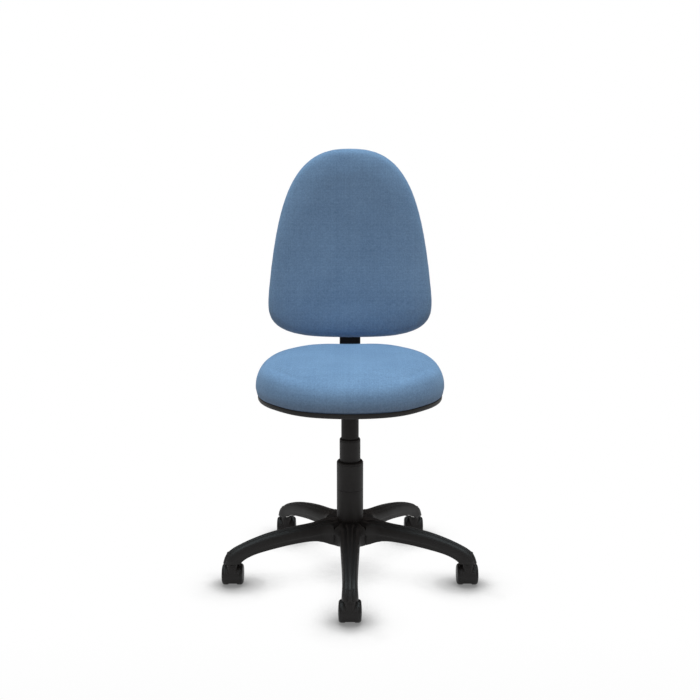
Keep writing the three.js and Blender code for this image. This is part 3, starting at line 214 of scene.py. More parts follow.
def sweep(name, path, section, up=(0, 0, 1), sharp=SHARP):
    """A section of (across, up) points in millimetres carried along a path of points."""
    rings = []
    last = len(path) - 1
    for i, point in enumerate(path):
        along = (path[min(i + 1, last)] - path[max(i - 1, 0)]).normalized()
        across = along.cross(Vector(up)).normalized()
        lift = across.cross(along)
        rings.append([point + across * (a * MM) + lift * (b * MM) for a, b in section])
    return loft(name, rings, sharp=sharp)


def circle(radius, count=20):
    turns = [2 * math.pi * i / count for i in range(count)]
    return [(radius * math.cos(turn), radius * math.sin(turn)) for turn in turns]


def rounded_box(name, low, high, radius, segments=3):
    """A block with every edge rounded, from one corner to the other, in millimetres."""
    work = bmesh.new()
    bmesh.ops.create_cube(work, size=1)
    low, high = mm(*low), mm(*high)
    for vertex in work.verts:
        vertex.co = Vector(((low[k] + high[k]) / 2 + vertex.co[k] * (high[k] - low[k])) for k in range(3))
    bmesh.ops.bevel(work, geom=work.edges[:], offset=radius * MM, segments=segments, profile=0.5,
                    affect="EDGES")
    return add(name, write_mesh(work, bpy.data.meshes.new(name)))


def settle(piece):
    """Replaces a piece's mesh with what its modifiers make of it."""
    graph = bpy.context.evaluated_depsgraph_get()
    result = bpy.data.meshes.new_from_object(piece.evaluated_get(graph))
    result.name = piece.name
    old = piece.data
    piece.modifiers.clear()
    piece.data = result
    bpy.data.meshes.remove(old)
    return piece


def boolean(piece, others, operation, sharp=SHARP):
    """Joins or cuts solids with exact booleans; the other solids are used up."""
    for other in others:
        step = piece.modifiers.new("step", "BOOLEAN")
        step.operation = operation
        step.object = other
        step.solver = "EXACT"
    settle(piece)
    for other in others:
        bpy.data.objects.remove(other)
    shade(piece.data, sharp)
    return piece


def soften_edges(piece, width, segments=2, angle=32):
    """Rounds the edges sharper than an angle."""
    bevel = piece.modifiers.new("edges", "BEVEL")
    bevel.width = width * MM
    bevel.segments = segments
    bevel.limit_method = "ANGLE"
    bevel.angle_limit = math.radians(angle)
    bevel.harden_normals = True
    return piece


def refined(name, node, edge):
    """A finer copy of a CAD node: welded, its coplanar facets joined, its edges rounded."""
    mesh = frame["nodes"][node].data.copy()
    mesh.name = name
    mesh.materials.clear()
    work = bmesh.new()
    work.from_mesh(mesh)
    bmesh.ops.remove_doubles(work, verts=work.verts, dist=0.02 * MM)
    bmesh.ops.dissolve_limit(work, angle_limit=math.radians(1), verts=work.verts, edges=work.edges)
    return soften_edges(add(name, write_mesh(work, mesh)), edge)


def place_copy(source, name, place):
    """A copy of an object and its modifiers that shares its mesh."""
    copy = source.copy()
    copy.name = name
    copy.location = place
    bpy.context.scene.collection.objects.link(copy)
    return copy


# ---------------------------------------------------------------- materials
class Graph:
    """A node tree, with short calls for its nodes."""

    def __init__(self, tree):
        self.tree = tree

    def node(self, kind, **settings):
        node = self.tree.nodes.new(kind)
        for key, value in settings.items():
            setattr(node, key, value)
        return node

    def feed(self, node, inputs):
        """Sets a node's sockets, each to a value or to another node's output."""
        for socket, value in inputs.items():
            if isinstance(value, bpy.types.NodeSocket):
                self.tree.links.new(value, node.inputs[socket])
            else:
                node.inputs[socket].default_value = value
        return node

    def math(self, operation, *values):
        return self.feed(self.node("ShaderNodeMath", operation=operation), dict(enumerate(values))).outputs[0]

    def total(self, values):
        first, second, third = values
        return self.math("ADD", self.math("ADD", first, second), third)

    def split(self, vector):
        return self.feed(self.node("ShaderNodeSeparateXYZ"), {0: vector}).outputs

    def ramp(self, value, *stops):
        node = self.feed(self.node("ShaderNodeValToRGB"), {"Fac": value})
        elements = node.color_ramp.elements
        while len(elements) < len(stops):
            elements.new(0.5)
        for element, (position, colour) in zip(elements, stops):
            element.position = position
            element.color = (*colour, 1) if isinstance(colour, tuple) else (colour, colour, colour, 1)
        return node.outputs["Color"]


class Shader(Graph):
    """A Principled material."""

    def __init__(self, name, **inputs):
        self.material = bpy.data.materials.new(name)
        self.material.use_nodes = True
        super().__init__(self.material.node_tree)
        self.surface = self.tree.nodes["Principled BSDF"]
        self.set(**inputs)
        self.place = self.node("ShaderNodeTexCoord").outputs["Object"]

    def set(self, **inputs):
        """Sets the surface's sockets; an underscore in a name stands for a space."""
        self.feed(self.surface, {key.replace("_", " "): value for key, value in inputs.items()})

    def noise(self, scale, detail=2.0, roughness=0.5, vector=None):
        inputs = {"Vector": vector or self.place, "Scale": scale, "Detail": detail, "Roughness": roughness}
        return self.feed(self.node("ShaderNodeTexNoise"), inputs).outputs["Fac"]

    def stretched(self, scale):
        inputs = {"Vector": self.place, "Scale": scale}
        return self.feed(self.node("ShaderNodeMapping"), inputs).outputs["Vector"]

    def mix(self, share, first, second, blend="MIX"):
        node = self.node("ShaderNodeMix", data_type="RGBA", blend_type=blend)
        first, second = ((*c, 1) if isinstance(c, tuple) else c for c in (first, second))
        return self.feed(node, {0: share, 6: first, 7: second}).outputs[2]

    def worn_edges(self, low=0.53, high=0.6):
        """1 along raised edges and 0 elsewhere."""
        geometry = self.node("ShaderNodeNewGeometry")
        return self.ramp(geometry.outputs["Pointiness"], (low, 0.0), (high, 1.0))

    def bump(self, height, distance, strength=1.0, under=None):
        inputs = {"Height": height, "Distance": distance, "Strength": strength}
        if under:
            inputs["Normal"] = under
        return self.feed(self.node("ShaderNodeBump"), inputs).outputs["Normal"]


def tint(colour, factor):
    return tuple(min(c * factor, 1.0) for c in colour)


def moulded_nylon(name, colour, roughness, grain=1400.0, depth=0.08):
    """Glass-filled nylon from a spark-eroded mould: fine grain, faint flow marks, paler worn edges."""
    shader = Shader(name, Specular_IOR_Level=0.3)
    flow = shader.noise(7.0, 4.0, 0.6)
    fine = shader.noise(grain, 2.0, 0.6)
    base = shader.ramp(flow, (0.3, tint(colour, 0.86)), (0.72, tint(colour, 1.16)))
    worn = shader.math("MULTIPLY", shader.worn_edges(), shader.noise(60.0, 3.0))
    spread = shader.math("MULTIPLY_ADD", shader.noise(22.0, 5.0, 0.65), 0.2, roughness - 0.1)
    shader.set(
        Base_Color=shader.mix(worn, base, tint(colour, 2.4)),
        Roughness=shader.math("MULTIPLY_ADD", fine, 0.08, spread),
        Normal=shader.bump(fine, depth * MM),
    )
    return shader.material


def painted_steel(name, colour, roughness):
    """Powder coat: soft orange peel, with bare steel just showing where edges are rubbed."""
    shader = Shader(name, Specular_IOR_Level=0.5, Coat_Weight=0.12, Coat_Roughness=0.35)
    peel = shader.noise(520.0, 3.0, 0.5)
    cloud = shader.noise(11.0, 4.0)
    patches = shader.ramp(shader.noise(130.0, 4.0), (0.5, 0.0), (0.72, 1.0))
    rub = shader.math("MULTIPLY", shader.worn_edges(0.55, 0.66), patches)
    base = shader.ramp(cloud, (0.3, tint(colour, 0.85)), (0.7, tint(colour, 1.2)))
    shader.set(
        Base_Color=shader.mix(rub, base, (0.3, 0.3, 0.31)),
        Metallic=shader.math("MULTIPLY", rub, 0.8),
        Roughness=shader.math("MULTIPLY_ADD", cloud, 0.16, roughness - 0.08),
        Normal=shader.bump(peel, 0.12 * MM),
    )
    return shader.material


def bare_metal(name, colour, roughness, brushed):
    """Zinc plate or chrome, with turning marks or drawn lines and a few dull patches."""
    shader = Shader(name, Metallic=1.0)
    lines = shader.noise(900.0, 2.0, 0.5, shader.stretched((1.0, 1.0, brushed)))
    patches = shader.noise(35.0, 5.0, 0.6)
    shader.set(
        Base_Color=shader.ramp(patches, (0.3, tint(colour, 0.8)), (0.7, colour)),
        Roughness=shader.math("MULTIPLY_ADD", patches, 0.2, roughness - 0.1),
        Normal=shader.bump(lines, 0.02 * MM),
    )
    return shader.material


def plywood(name, colour):
    """Beech plywood: long figure on the faces and plies through the thickness."""
    shader = Shader(name, Specular_IOR_Level=0.3)
    figure = shader.noise(30.0, 6.0, 0.6, shader.stretched((6.0, 0.6, 1.0)))
    pores = shader.noise(420.0, 2.0, 0.5, shader.stretched((1.0, 0.06, 1.0)))
    wood = shader.ramp(figure, (0.25, tint(colour, 0.72)), (0.75, tint(colour, 1.1)))
    shader.set(
        Base_Color=shader.mix(shader.ramp(pores, (0.55, 0.0), (0.7, 0.5)), wood, tint(colour, 0.45)),
        Roughness=shader.math("MULTIPLY_ADD", pores, 0.2, 0.6),
        Normal=shader.bump(figure, 0.1 * MM),
    )
    return shader.material


THREAD = 1.5  # millimetres from one thread to the next
WEFT_SEED = 517.0  # keeps the tones of the two directions apart


def weave_group():
    """Plain weave on a plane: X and Y of the input are in threads. Gives height, and tone by thread."""
    group = bpy.data.node_groups.new("plain_weave", "ShaderNodeTree")
    group.interface.new_socket("Place", in_out="INPUT", socket_type="NodeSocketVector")
    for output in ("Height", "Tone"):
        group.interface.new_socket(output, in_out="OUTPUT", socket_type="NodeSocketFloat")
    weave = Graph(group)
    start, end = weave.node("NodeGroupInput"), weave.node("NodeGroupOutput")
    place = weave.split(start.outputs[0])
    waves = [weave.math("SINE", weave.math("MULTIPLY", place[k], math.pi)) for k in (0, 1)]
    crowns = [weave.math("POWER", weave.math("ABSOLUTE", wave), 0.7) for wave in waves]
    warp_on_top = weave.math("GREATER_THAN", weave.math("MULTIPLY", *waves), 0.0)
    heights, tones = [], []
    for k in (0, 1):
        dip = weave.math("MULTIPLY_ADD", crowns[1 - k], 0.5, 0.5)
        heights.append(weave.math("MULTIPLY", crowns[k], dip))
        thread = weave.node("ShaderNodeTexWhiteNoise", noise_dimensions="1D")
        weave.feed(thread, {"W": weave.math("ADD", weave.math("FLOOR", place[k]), WEFT_SEED * k)})
        tones.append(thread.outputs["Value"])
    for slot, (warp, weft) in enumerate((heights, tones)):
        choice = weave.node("ShaderNodeMix", data_type="FLOAT")
        weave.feed(choice, {0: warp_on_top, 2: weft, 3: warp})
        weave.feed(end, {slot: choice.outputs[0]})
    return group


def upholstery(name, dark, light):
    """Plain-woven wool: every thread its own tone, slubs, soft nap and slight piling, and painted shade in the
    weave's low places.

    The weave is laid on the three planes of the object's own space and mixed by where the surface faces."""
    weave_nodes = weave_group()
    shader = Shader(name, Specular_IOR_Level=0.18, Sheen_Weight=0.35, Sheen_Roughness=0.55,
                    Sheen_Tint=(*tint(light, 1.5), 1))
    place = shader.split(shader.place)
    aim = shader.split(shader.node("ShaderNodeTexCoord").outputs["Normal"])
    shares = [shader.math("POWER", shader.math("ABSOLUTE", aim[k]), 5.0) for k in range(3)]
    total = shader.total(shares)
    heights, tones = [], []
    for share, plane in zip(shares, [(1, 2), (0, 2), (0, 1)]):
        threads = [shader.math("MULTIPLY", place[axis], 1000.0 / THREAD) for axis in plane]
        flat = shader.feed(shader.node("ShaderNodeCombineXYZ"), dict(enumerate(threads)))
        weave = shader.node("ShaderNodeGroup", node_tree=weave_nodes)
        shader.feed(weave, {0: flat.outputs[0]})
        share = shader.math("DIVIDE", share, total)
        heights.append(shader.math("MULTIPLY", weave.outputs[0], share))
        tones.append(shader.math("MULTIPLY", weave.outputs[1], share))
    height, tone = shader.total(heights), shader.total(tones)
    slub = shader.noise(240.0, 3.0, 0.7)
    cloud = shader.noise(9.0, 3.0, 0.55)
    mottled = shader.math("MULTIPLY_ADD", slub, 0.9, shader.math("MULTIPLY_ADD", cloud, 0.35, -0.22))
    share = shader.math("MULTIPLY_ADD", tone, 0.12, shader.math("MULTIPLY_ADD", mottled, 0.8, 0.06))
    base = shader.ramp(share, (0.12, dark), (0.88, light))
    # Painted shade: the colour is darkened where the weave lies low, between and under the threads.
    painted_valley_shade = shader.ramp(height, (0.0, 0.62), (0.5, 1.0))
    woven = shader.bump(height, 0.28 * MM, 0.85)
    shader.set(
        Base_Color=shader.mix(1.0, base, painted_valley_shade, "MULTIPLY"),
        Roughness=shader.math("MULTIPLY_ADD", slub, 0.2, 0.78),
        Normal=shader.bump(slub, 0.22 * MM, 0.6, woven),
    )
    return shader.material


def linear(*srgb):
    """An 8-bit sRGB colour as linear light."""
    return tuple(((c / 255 + 0.055) / 1.055) ** 2.4 if c > 10 else c / 255 / 12.92 for c in srgb)


MATERIALS = {
    "black_nylon": moulded_nylon("moulded_nylon", linear(25, 25, 25), 0.52),
    "wheel_nylon": moulded_nylon("wheel_nylon", linear(17, 17, 17), 0.42, 900.0, 0.05),
    "black_steel": painted_steel("powder_coated_steel", linear(20, 21, 21), 0.42),
    "zinc_steel": bare_metal("zinc_plated_steel", (0.62, 0.62, 0.6), 0.36, 6.0),
    "chrome": bare_metal("polished_chrome", (0.78, 0.79, 0.8), 0.16, 0.2),
    "plywood": plywood("beech_plywood", (0.62, 0.42, 0.22)),
    "blue_fabric": upholstery("woven_blue_wool", linear(87, 117, 151), linear(143, 178, 214)),
}


def paint(piece, slot):
    piece.data.materials.clear()
    piece.data.materials.append(MATERIALS[slot])


def fit(piece, body, slot, *nodes):
    """Gives a piece its material, its body and the CAD nodes that it stands for."""
    paint(piece, slot)
    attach(piece, body)
    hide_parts(*nodes)
    return piece


def dress_cad_nodes():
    """The CAD nodes that stay shown take the fine materials of their slots."""
    slots = {row["node"]: row["material_slot"] for row in frame["record"]["subparts"]}
    for name, node in frame["nodes"].items():
        paint(node, slots[name])


# ---------------------------------------------------------------- column
COVER_PLAY = 0.5
COVER_WALL = 1.6
BUSH_TO_COVER = 1.2  # from the guide bush, across the standing tube's play, to the upper stage


def cover_profile(outer, bottom, top, foot, lip, lines):
    """A cover stage: foot, body with fine ring lines, chamfered collar, lip round the next stage."""
    inner = outer - COVER_WALL
    profile = [(inner, bottom), (foot, bottom), (foot, bottom + 2.6), (outer, bottom + 3.2)]
    for below in sorted(lines, reverse=True):
        height = top - below
        profile += [(outer, height - 0.9), (outer - 0.55, height - 0.3), (outer - 0.55, height + 0.3),
                    (outer, height + 0.9)]
    profile += [(outer, top - 3.6), (outer - 0.5, top - 2.6), (outer - 2.0, top - 0.5), (outer - 2.8, top)]
    profile += [(lip + 0.3, top), (lip, top - 0.4), (lip, top - 1.5), (inner, top - 3.0)]
    return profile


def build_column():
    stages = ("lower", "middle", "upper")
    feet = [span(f"column_cover_{stage}", 0)[1] / MM for stage in stages]
    ends = [[z / MM for z in span(f"column_cover_{stage}", 2)] for stage in stages]
    radii = [feet[0] - 1, feet[2] + COVER_PLAY + COVER_WALL,
             span("guide_bush", 0)[1] / MM + BUSH_TO_COVER + COVER_WALL]
    for k, body, lines in ((0, "base", (7, 70)), (1, "cover", (6,))):
        profile = cover_profile(radii[k], *ends[k], feet[k], radii[k + 1] + COVER_PLAY, lines)
        fit(turned(f"cover_{stages[k]}", profile), body, "black_nylon", f"column_cover_{stages[k]}")
    inner, outer, foot, (low, high) = radii[2] - COVER_WALL, radii[2], feet[2], ends[2]
    upper = turned_ring("cover_upper", [
        (inner, low), (foot, low), (foot, low + 3), (outer, low + 3.4), (outer, high), (inner, high)],
        0.4, steps=2)
    fit(upper, "seat", "black_nylon", "column_cover_upper")


# ---------------------------------------------------------------- five-star base
HUB_RADIUS = 36.5
HUB_BORE = 19.2
HUB_TOP = 137.0
CROTCH_FILLET = 36.0
LEG_HALF = 23.3
LEG_TURN = 2 * math.pi / 5
LEG_TURNS = [Matrix.Rotation(leg * LEG_TURN - math.pi / 2, 4, "Z") for leg in range(5)]
LEG_START, LEG_RUN = 60, 254  # reach at which the tables start, and how far they run
# Along a leg, at shares of the way from hub to end: the crown and the lower edge of the section as
# reach and height, and the half width.
CROWN_PLACES = (0, 0.2, 0.4, 0.6, 0.76, 0.87, 0.93, 0.965, 1)
CROWN_REACH = list(zip(CROWN_PLACES, (60, 101, 150, 200, 240, 272, 294, 307, 313.6)))
CROWN_HEIGHT = list(zip(CROWN_PLACES, (139.8, 133.2, 129.3, 122, 112, 100.8, 90, 78, 60)))
EDGE_PLACES = (0, 0.2, 0.4, 0.6, 0.76, 0.87, 0.93, 1)
EDGE_REACH = list(zip(EDGE_PLACES, (60, 102, 150, 198, 236, 258, 270, 276.4)))
EDGE_HEIGHT = list(zip(EDGE_PLACES, (90, 97, 94.5, 87.5, 80, 72.5, 66, 60)))
HALF_WIDTH = list(zip(EDGE_PLACES, (23.3, 23.3, 21.8, 19.6, 18, 17.2, 17.4, 18.6)))
# Down one side of the section: (share of half width, drop in millimetres).
SECTION = [
    (0.0, 0.0), (0.1, 0.0), (0.17, 0.3), (0.225, 1.3), (0.27, 2.9), (0.315, 3.9), (0.37, 4.0),
    (0.43, 3.1), (0.5, 2.6), (0.58, 2.7), (0.66, 3.3), (0.75, 4.6), (0.83, 6.4), (0.9, 9.0),
    (0.955, 12.4), (0.99, 16.5), (1.0, 20.5),
]
# Below that, the wall: (share of what is left of the depth, share of half width).
WALL = [(0.1, 1.0), (0.19, 0.99), (0.26, 0.955), (0.33, 0.945), (0.6, 0.955), (0.93, 0.972), (1, 0.965)]


def leg_share(reach):
    return min(max((reach - LEG_START) / LEG_RUN, 0), 1)


def leg_rib(share):
    """One section of a leg's outside: points from the crown down to the lower edge, on the +Y side."""
    crown = Vector((smooth_value(CROWN_REACH, share), 0, smooth_value(CROWN_HEIGHT, share)))
    edge = Vector((smooth_value(EDGE_REACH, share), 0, smooth_value(EDGE_HEIGHT, share)))
    half = smooth_value(HALF_WIDTH, share)
    down = edge - crown
    depth = down.length
    fade = smoothstep(-0.05, 0.12, share) * (1 - 0.55 * smoothstep(0.8, 1.0, share))
    points = []
    for across, drop in SECTION:
        groove = min(drop, 2.6 + (drop - 2.6) * fade) if across < 0.5 else drop
        point = crown + down * (groove / depth)
        points.append(Vector((point.x, half * across, point.z)))
    step = 1 - smoothstep(0.78, 0.97, share)
    for t, across in WALL:
        point = crown + down * lerp(SECTION[-1][1] / depth, 1, t)
        points.append(Vector((point.x, half * lerp(0.98, across, step), point.z)))
    return points


def hub_ribs():
    """Sections from the bore out to the first leg section, bounded by the plane between two legs.

    Returns the sections whose last point lies on that plane, those in the fillet with a wall below, and
    the share of the leg at which they end."""
    slope = math.tan(LEG_TURN / 2)
    fillet_x = (LEG_HALF + CROTCH_FILLET) / slope
    fillet_y = LEG_HALF + CROTCH_FILLET
    crotch_radius = math.hypot(fillet_x, fillet_y) - CROTCH_FILLET
    crotch = Vector((math.cos(LEG_TURN / 2), math.sin(LEG_TURN / 2))) * crotch_radius
    inner = []
    for q in (0.0, 0.3, 0.6, 0.8, 0.9, 0.96):
        row = []
        for across, drop in SECTION:
            turn = across * LEG_TURN / 2
            at_bore = Vector((math.cos(turn), math.sin(turn))) * HUB_BORE
            place = at_bore.lerp(Vector((crotch.x, crotch.y * across)), q)
            row.append(Vector((place.x, place.y, hub_height(place, drop))))
        inner.append(row)
    outer = []
    steps = 12
    for k in range(steps + 1):
        reach = lerp(crotch.x, fillet_x, 1 - (1 - k / steps) ** 1.6)
        half = fillet_y - math.sqrt(max(CROTCH_FILLET ** 2 - (fillet_x - reach) ** 2, 0))
        dip = 3.0 * (1 - smoothstep(crotch.x, fillet_x, reach))
        outer.append(filled_rib(reach, half, smooth_value(EDGE_HEIGHT, leg_share(reach)) - dip))
    return inner, outer, (fillet_x - LEG_START) / LEG_RUN


def hub_height(place, drop):
    """Height of the hub's top: flat under the column cover, then rounding down towards the crotch."""
    radius = place.length
    crown = smooth_value(CROWN_HEIGHT, leg_share(place.x))
    top = lerp(HUB_TOP, crown, smoothstep(HUB_RADIUS, 56, radius))
    return top - drop * smoothstep(HUB_RADIUS - 1.5, 58, radius)


def filled_rib(reach, half, floor):
    """One section in the fillet between hub and leg, from the hub's top down to a floor."""
    points = [Vector((reach, half * across, hub_height(Vector((reach, half * across)), drop)))
              for across, drop in SECTION]
    top = points[-1].z
    for t, across in WALL:
        points.append(Vector((reach, half * lerp(1, across, LEG_HALF / half), lerp(top, floor, t))))
    return points


def base_skin():
    """The base's outside for one leg, both halves, as vertices and faces."""
    inner, outer, start = hub_ribs()
    full = [*outer, *(leg_rib(lerp(start, 1, k / 44)) for k in range(2, 45))]
    vertices, faces = [], []
    top_count = len(SECTION)
    for side in (1, -1):
        def add_rows(rows):
            start = len(vertices)
            for row in rows:
                vertices.extend(Vector((p.x, side * p.y, p.z)) for p in row)
            width = len(rows[0])
            for r in range(len(rows) - 1):
                for c in range(width - 1):
                    a = start + r * width + c
                    faces.append((a, a + 1, a + width + 1, a + width))
        add_rows([*inner, full[0][:top_count]])
        add_rows(full)
    return vertices, faces


def build_base():
    vertices, faces = base_skin()
    all_vertices, all_faces = [], []
    for turn in LEG_TURNS:
        start = len(all_vertices)
        all_vertices += [turn @ (v * MM) for v in vertices]
        all_faces += [tuple(start + i for i in face) for face in faces]
    moulding = add_object("base_moulding", all_vertices, all_faces, 60)
    wall = moulding.modifiers.new("wall", "SOLIDIFY")
    wall.thickness = 3.2 * MM
    wall.offset = -1
    wall.use_even_offset = False
    boss = turned_ring("base_hub_boss", [(19.0, 62), (24.5, 62), (26.5, 132), (19.0, 132)], 0.8)
    for piece in (moulding, boss, *(leg_underside(k, turn) for k, turn in enumerate(LEG_TURNS, 1))):
        fit(piece, "base", "black_nylon", "star_base")


def leg_underside(number, turn):
    """Cross ribs, a long rib and the caster socket inside one leg."""
    parts = []
    for reach, top in ((88, 128), (132, 124), (176, 119), (220, 108)):
        half = smooth_value(HALF_WIDTH, leg_share(reach)) - 2.4
        foot = smooth_value(EDGE_HEIGHT, leg_share(reach)) + 2.0
        corners = (reach - 1.4, -half, foot), (reach + 1.4, half, top)
        parts.append(rounded_box(f"rib_{number}_{reach}", *corners, 0.5, 2))
    rib = rounded_box(f"base_ribs_{number}", (27, -1.4, 92), (262, 1.4, 101), 0.5, 2)
    parts.append(turned_ring(f"socket_{number}", [
        (STEM_BORE, 60.3), (10.5, 60.3), (11.5, 84), (STEM_BORE, 84)], 0.6, mm(293, 0, 0), steps=2))
    boolean(rib, parts, "UNION").data.transform(turn)
    return rib


# ---------------------------------------------------------------- casters
WHEEL_RADIUS = 25.0
WHEEL_WIDTH = 16.0
WHEEL_FROM_MIDDLE = 10
SHOULDER = 7.4  # size of the rounding outside the tread
STEM_BORE = 5.8
STEM_PLACE = mm(0, -15, 0)  # from the axle
AXLE_BORE = 3.3
HOOD_OUTER, HOOD_INNER, HOOD_HALF = 27.8, 26.0, 18.5
WEB_HALF = 8.7


def wheel_mesh():
    """A wheel on an axis along +X, its inner face at 0: dished inside, broad rounded shoulder outside."""
    profile = [
        (0, 8.3), (3.3, 8.3), (3.3, 0.3), (6.4, 0.3), (7.0, 3.2), (19.6, 3.2), (20.4, 0.2), (23.2, 0.2),
        (24.2, 0.5), (24.8, 1.3), (WHEEL_RADIUS, 2.4), (WHEEL_RADIUS, 8.2),
    ]
    for k in range(1, 9):
        turn = k / 8 * math.radians(74)
        profile.append((WHEEL_RADIUS - SHOULDER * (1 - math.cos(turn)) * 0.95,
                        8.2 + SHOULDER * math.sin(turn) * 0.93))
    edge_r, edge_x = profile[-1]
    groove = ((1.4, 0.15), (1.7, -0.35), (2.3, -0.35), (2.6, 0.2))
    profile += [(edge_r - inwards, edge_x + out) for inwards, out in groove]
    profile += [(9.0, WHEEL_WIDTH - 0.25), (4.0, WHEEL_WIDTH), (0, WHEEL_WIDTH)]
    return turned("wheel_master", profile, (0, 0, 0), "X")


def hood_mesh():
    """The hood over both wheels, axle at the origin, front towards -Y."""
    start, end = math.radians(8), math.pi + math.asin(15 / HOOD_OUTER)
    section = rounded([(-HOOD_HALF, HOOD_INNER), (-HOOD_HALF, HOOD_OUTER, 2.4), (HOOD_HALF, HOOD_OUTER, 2.4),
                       (HOOD_HALF, HOOD_INNER)], 0.5, closed=True, steps=4)
    rings = []
    steps = 44
    for k in range(steps + 1):
        turn = lerp(start, end, k / steps)
        ease = 1 - 0.045 * smoothstep(0.94, 1.0, k / steps)
        rings.append([mm(x * ease, r * math.cos(turn), r * math.sin(turn)) for x, r in section])
    hood = loft("hood_master", rings)
    turns = [lerp(start, end, k / 24) for k in range(25)]
    web_outline = [(HOOD_INNER + 0.8) * Vector((math.cos(a), math.sin(a))) for a in turns]
    web_outline += [Vector(p) for p in ((-7.5, -14.0), (-1.0, -8.0), (5.0, -6.4), (8.0, -2.5))]
    web = loft("web", [[mm(x, p.x, p.y) for p in web_outline] for x in (-WEB_HALF, WEB_HALF)])
    collar = turned_ring("collar", [
        (STEM_BORE, 5.0), (12.0, 5.0), (12.6, 25.0), (12.0, 29.0, 2), (12.0, 31.9, 1.0),
        (STEM_BORE, 31.9, 0.6)], 0.5, STEM_PLACE)
    boss = rod("boss", 6.5, -WEB_HALF, WEB_HALF, (0, 0, 0), "X", 32)
    hood = boolean(hood, [web, collar, boss], "UNION", 30)
    bores = [rod("stem_bore", STEM_BORE, 4, 40, STEM_PLACE, "Z", 32),
             rod("axle_bore", AXLE_BORE, -20, 20, (0, 0, 0), "X", 32)]
    return soften_edges(boolean(hood, bores, "DIFFERENCE", 30), 0.35, 2, 40)


def build_casters():
    right_wheel = wheel_mesh()
    left_mesh = right_wheel.data.copy()
    left_mesh.transform(Matrix.Scale(-1, 4, (1, 0, 0)))
    left_mesh.flip_normals()
    hood = hood_mesh()
    stem = turned("stem_master", rounded([
        (0, 30), (4.9, 30), (5.5, 30.8), (5.5, 57.2), (9, 57.2), (9, 59.7), (5.5, 59.7), (5.5, 81.2),
        (4.7, 82), (0, 82)], 0.25, steps=2), segments=40)
    for number in CASTERS:
        name = f"caster_{number}"
        axle, stem_place = centre(f"{name}_axle"), centre(f"{name}_stem")
        fit(place_copy(hood, f"hood_{number}", axle), name, "black_nylon", f"{name}_hood")
        for side, sign in SIDES.items():
            place = axle + mm(sign * WHEEL_FROM_MIDDLE, 0, 0)
            wheel = place_copy(right_wheel, f"tread_{number}_{side}", place)
            if sign < 0:
                wheel.data = left_mesh
            fit(wheel, f"wheel_{number}_{side}", "wheel_nylon", f"{name}_wheel_{side}")
        piece = place_copy(stem, f"stem_{number}", (stem_place.x, stem_place.y, 0))
        fit(piece, "base", "zinc_steel", f"{name}_stem")
    for master in (right_wheel, hood, stem):
        bpy.data.objects.remove(master)


# ---------------------------------------------------------------- seat and back outlines
class Outline:
    """A superellipse with different reaches and powers on its low and high sides, in millimetres."""

    def __init__(self, half, low, high, low_power, high_power, taper=0.0):
        self.half, self.low, self.high = half, low, high
        self.low_power, self.high_power, self.taper = low_power, high_power, taper

    def points(self, inset=0.0, count=144, low_roll=1.0, high_roll=1.0):
        """The outline set in by a distance; the low and high ends take a share of it."""
        result = []
        for k in range(count):
            turn = 2 * math.pi * k / count
            across, along = math.cos(turn), math.sin(turn)
            below = along < 0
            power = 2 / (self.low_power if below else self.high_power)
            reach = self.low - low_roll * inset if below else self.high - high_roll * inset
            share = abs(along) ** power
            taper = 0 if below else self.taper * math.sin(math.pi * share)
            half = max((self.half - inset) * abs(across) ** power - taper, 0)
            result.append(Vector((math.copysign(half, across), math.copysign(reach * share, along))))
        return even_spacing(result, count)

    def inset_of(self, x, y):
        """How far points lie inside the outline, close to it, and the way out, as arrays."""
        below = y < 0
        power = np.where(below, self.low_power, self.high_power)
        reach = np.where(below, self.low, self.high)
        taper = np.where(below, 0, self.taper * np.sin(np.pi * np.clip(np.abs(y) / reach, 0, 1)))
        across = np.maximum(np.abs(x) + taper * (np.abs(x) > 0.3 * self.half), 0.01)
        along = np.maximum(np.abs(y), 0.01)
        scale = ((across / self.half) ** power + (along / reach) ** power) ** (1 / power)
        slope_x = scale ** (1 - power) * across ** (power - 1) / self.half ** power
        slope_y = scale ** (1 - power) * along ** (power - 1) / reach ** power
        slope = np.hypot(slope_x, slope_y)
        return (1 - scale) / slope, np.sign(x) * slope_x / slope, np.sign(y) * slope_y / slope


def even_spacing(points, count):
    """The same closed outline with its points evenly spaced."""
    closed = [*points, points[0]]
    lengths = [0.0]
    for a, b in zip(closed, closed[1:]):
        lengths.append(lengths[-1] + (b - a).length)
    result, segment = [], 0
    for k in range(count):
        target = lengths[-1] * k / count
        while lengths[segment + 1] < target:
            segment += 1
        step = lengths[segment + 1] - lengths[segment]
        share = (target - lengths[segment]) / step if step > 0 else 0
        result.append(closed[segment].lerp(closed[segment + 1], share))
    return result


SEAT = Outline(221, 217, 223, 2.15, 2.9)
SEAT_MIDDLE = -15.0
BACK_OUTLINE = Outline(210, 95, 385, 3.1, 2.5, 10)
BACK_WIDEST = 101.0


def outline_loft(name, outline, levels, to_space, count=144, rolls=(1, 1), **settings):
    """A skin through (inset, height) levels of an outline."""
    rings = [[to_space(p, height) for p in outline.points(inset, count, *rolls)] for inset, height in levels]
    return loft(name, rings, **settings)


# ---------------------------------------------------------------- cushions
SIM_FRAMES = 20
COVER_CLOTH = {
    "quality": 4, "mass": 0.25, "use_pressure": True, "uniform_pressure_force": 4.0,
    "tension_stiffness": 18, "compression_stiffness": 12, "shear_stiffness": 8, "bending_stiffness": 1.2,
    "vertex_group_mass": "held",
}
VOXEL = 6.0
SWELL = 5.0  # how far a cover may swell, in millimetres
EVENING = 14  # rounds of averaging, which leave the wide swell and drop the small lumps
SINK = 0.6  # how far foam lets its cover sink
SLIDE = 0.25  # share of the cloth's sideways creep that is kept


def match_span(values, low, high):
    """Values stretched so that they run from low to high, as the cover is pulled to the foam's size."""
    share = (values - values.min()) / (values.max() - values.min())
    return low + share * (high - low)


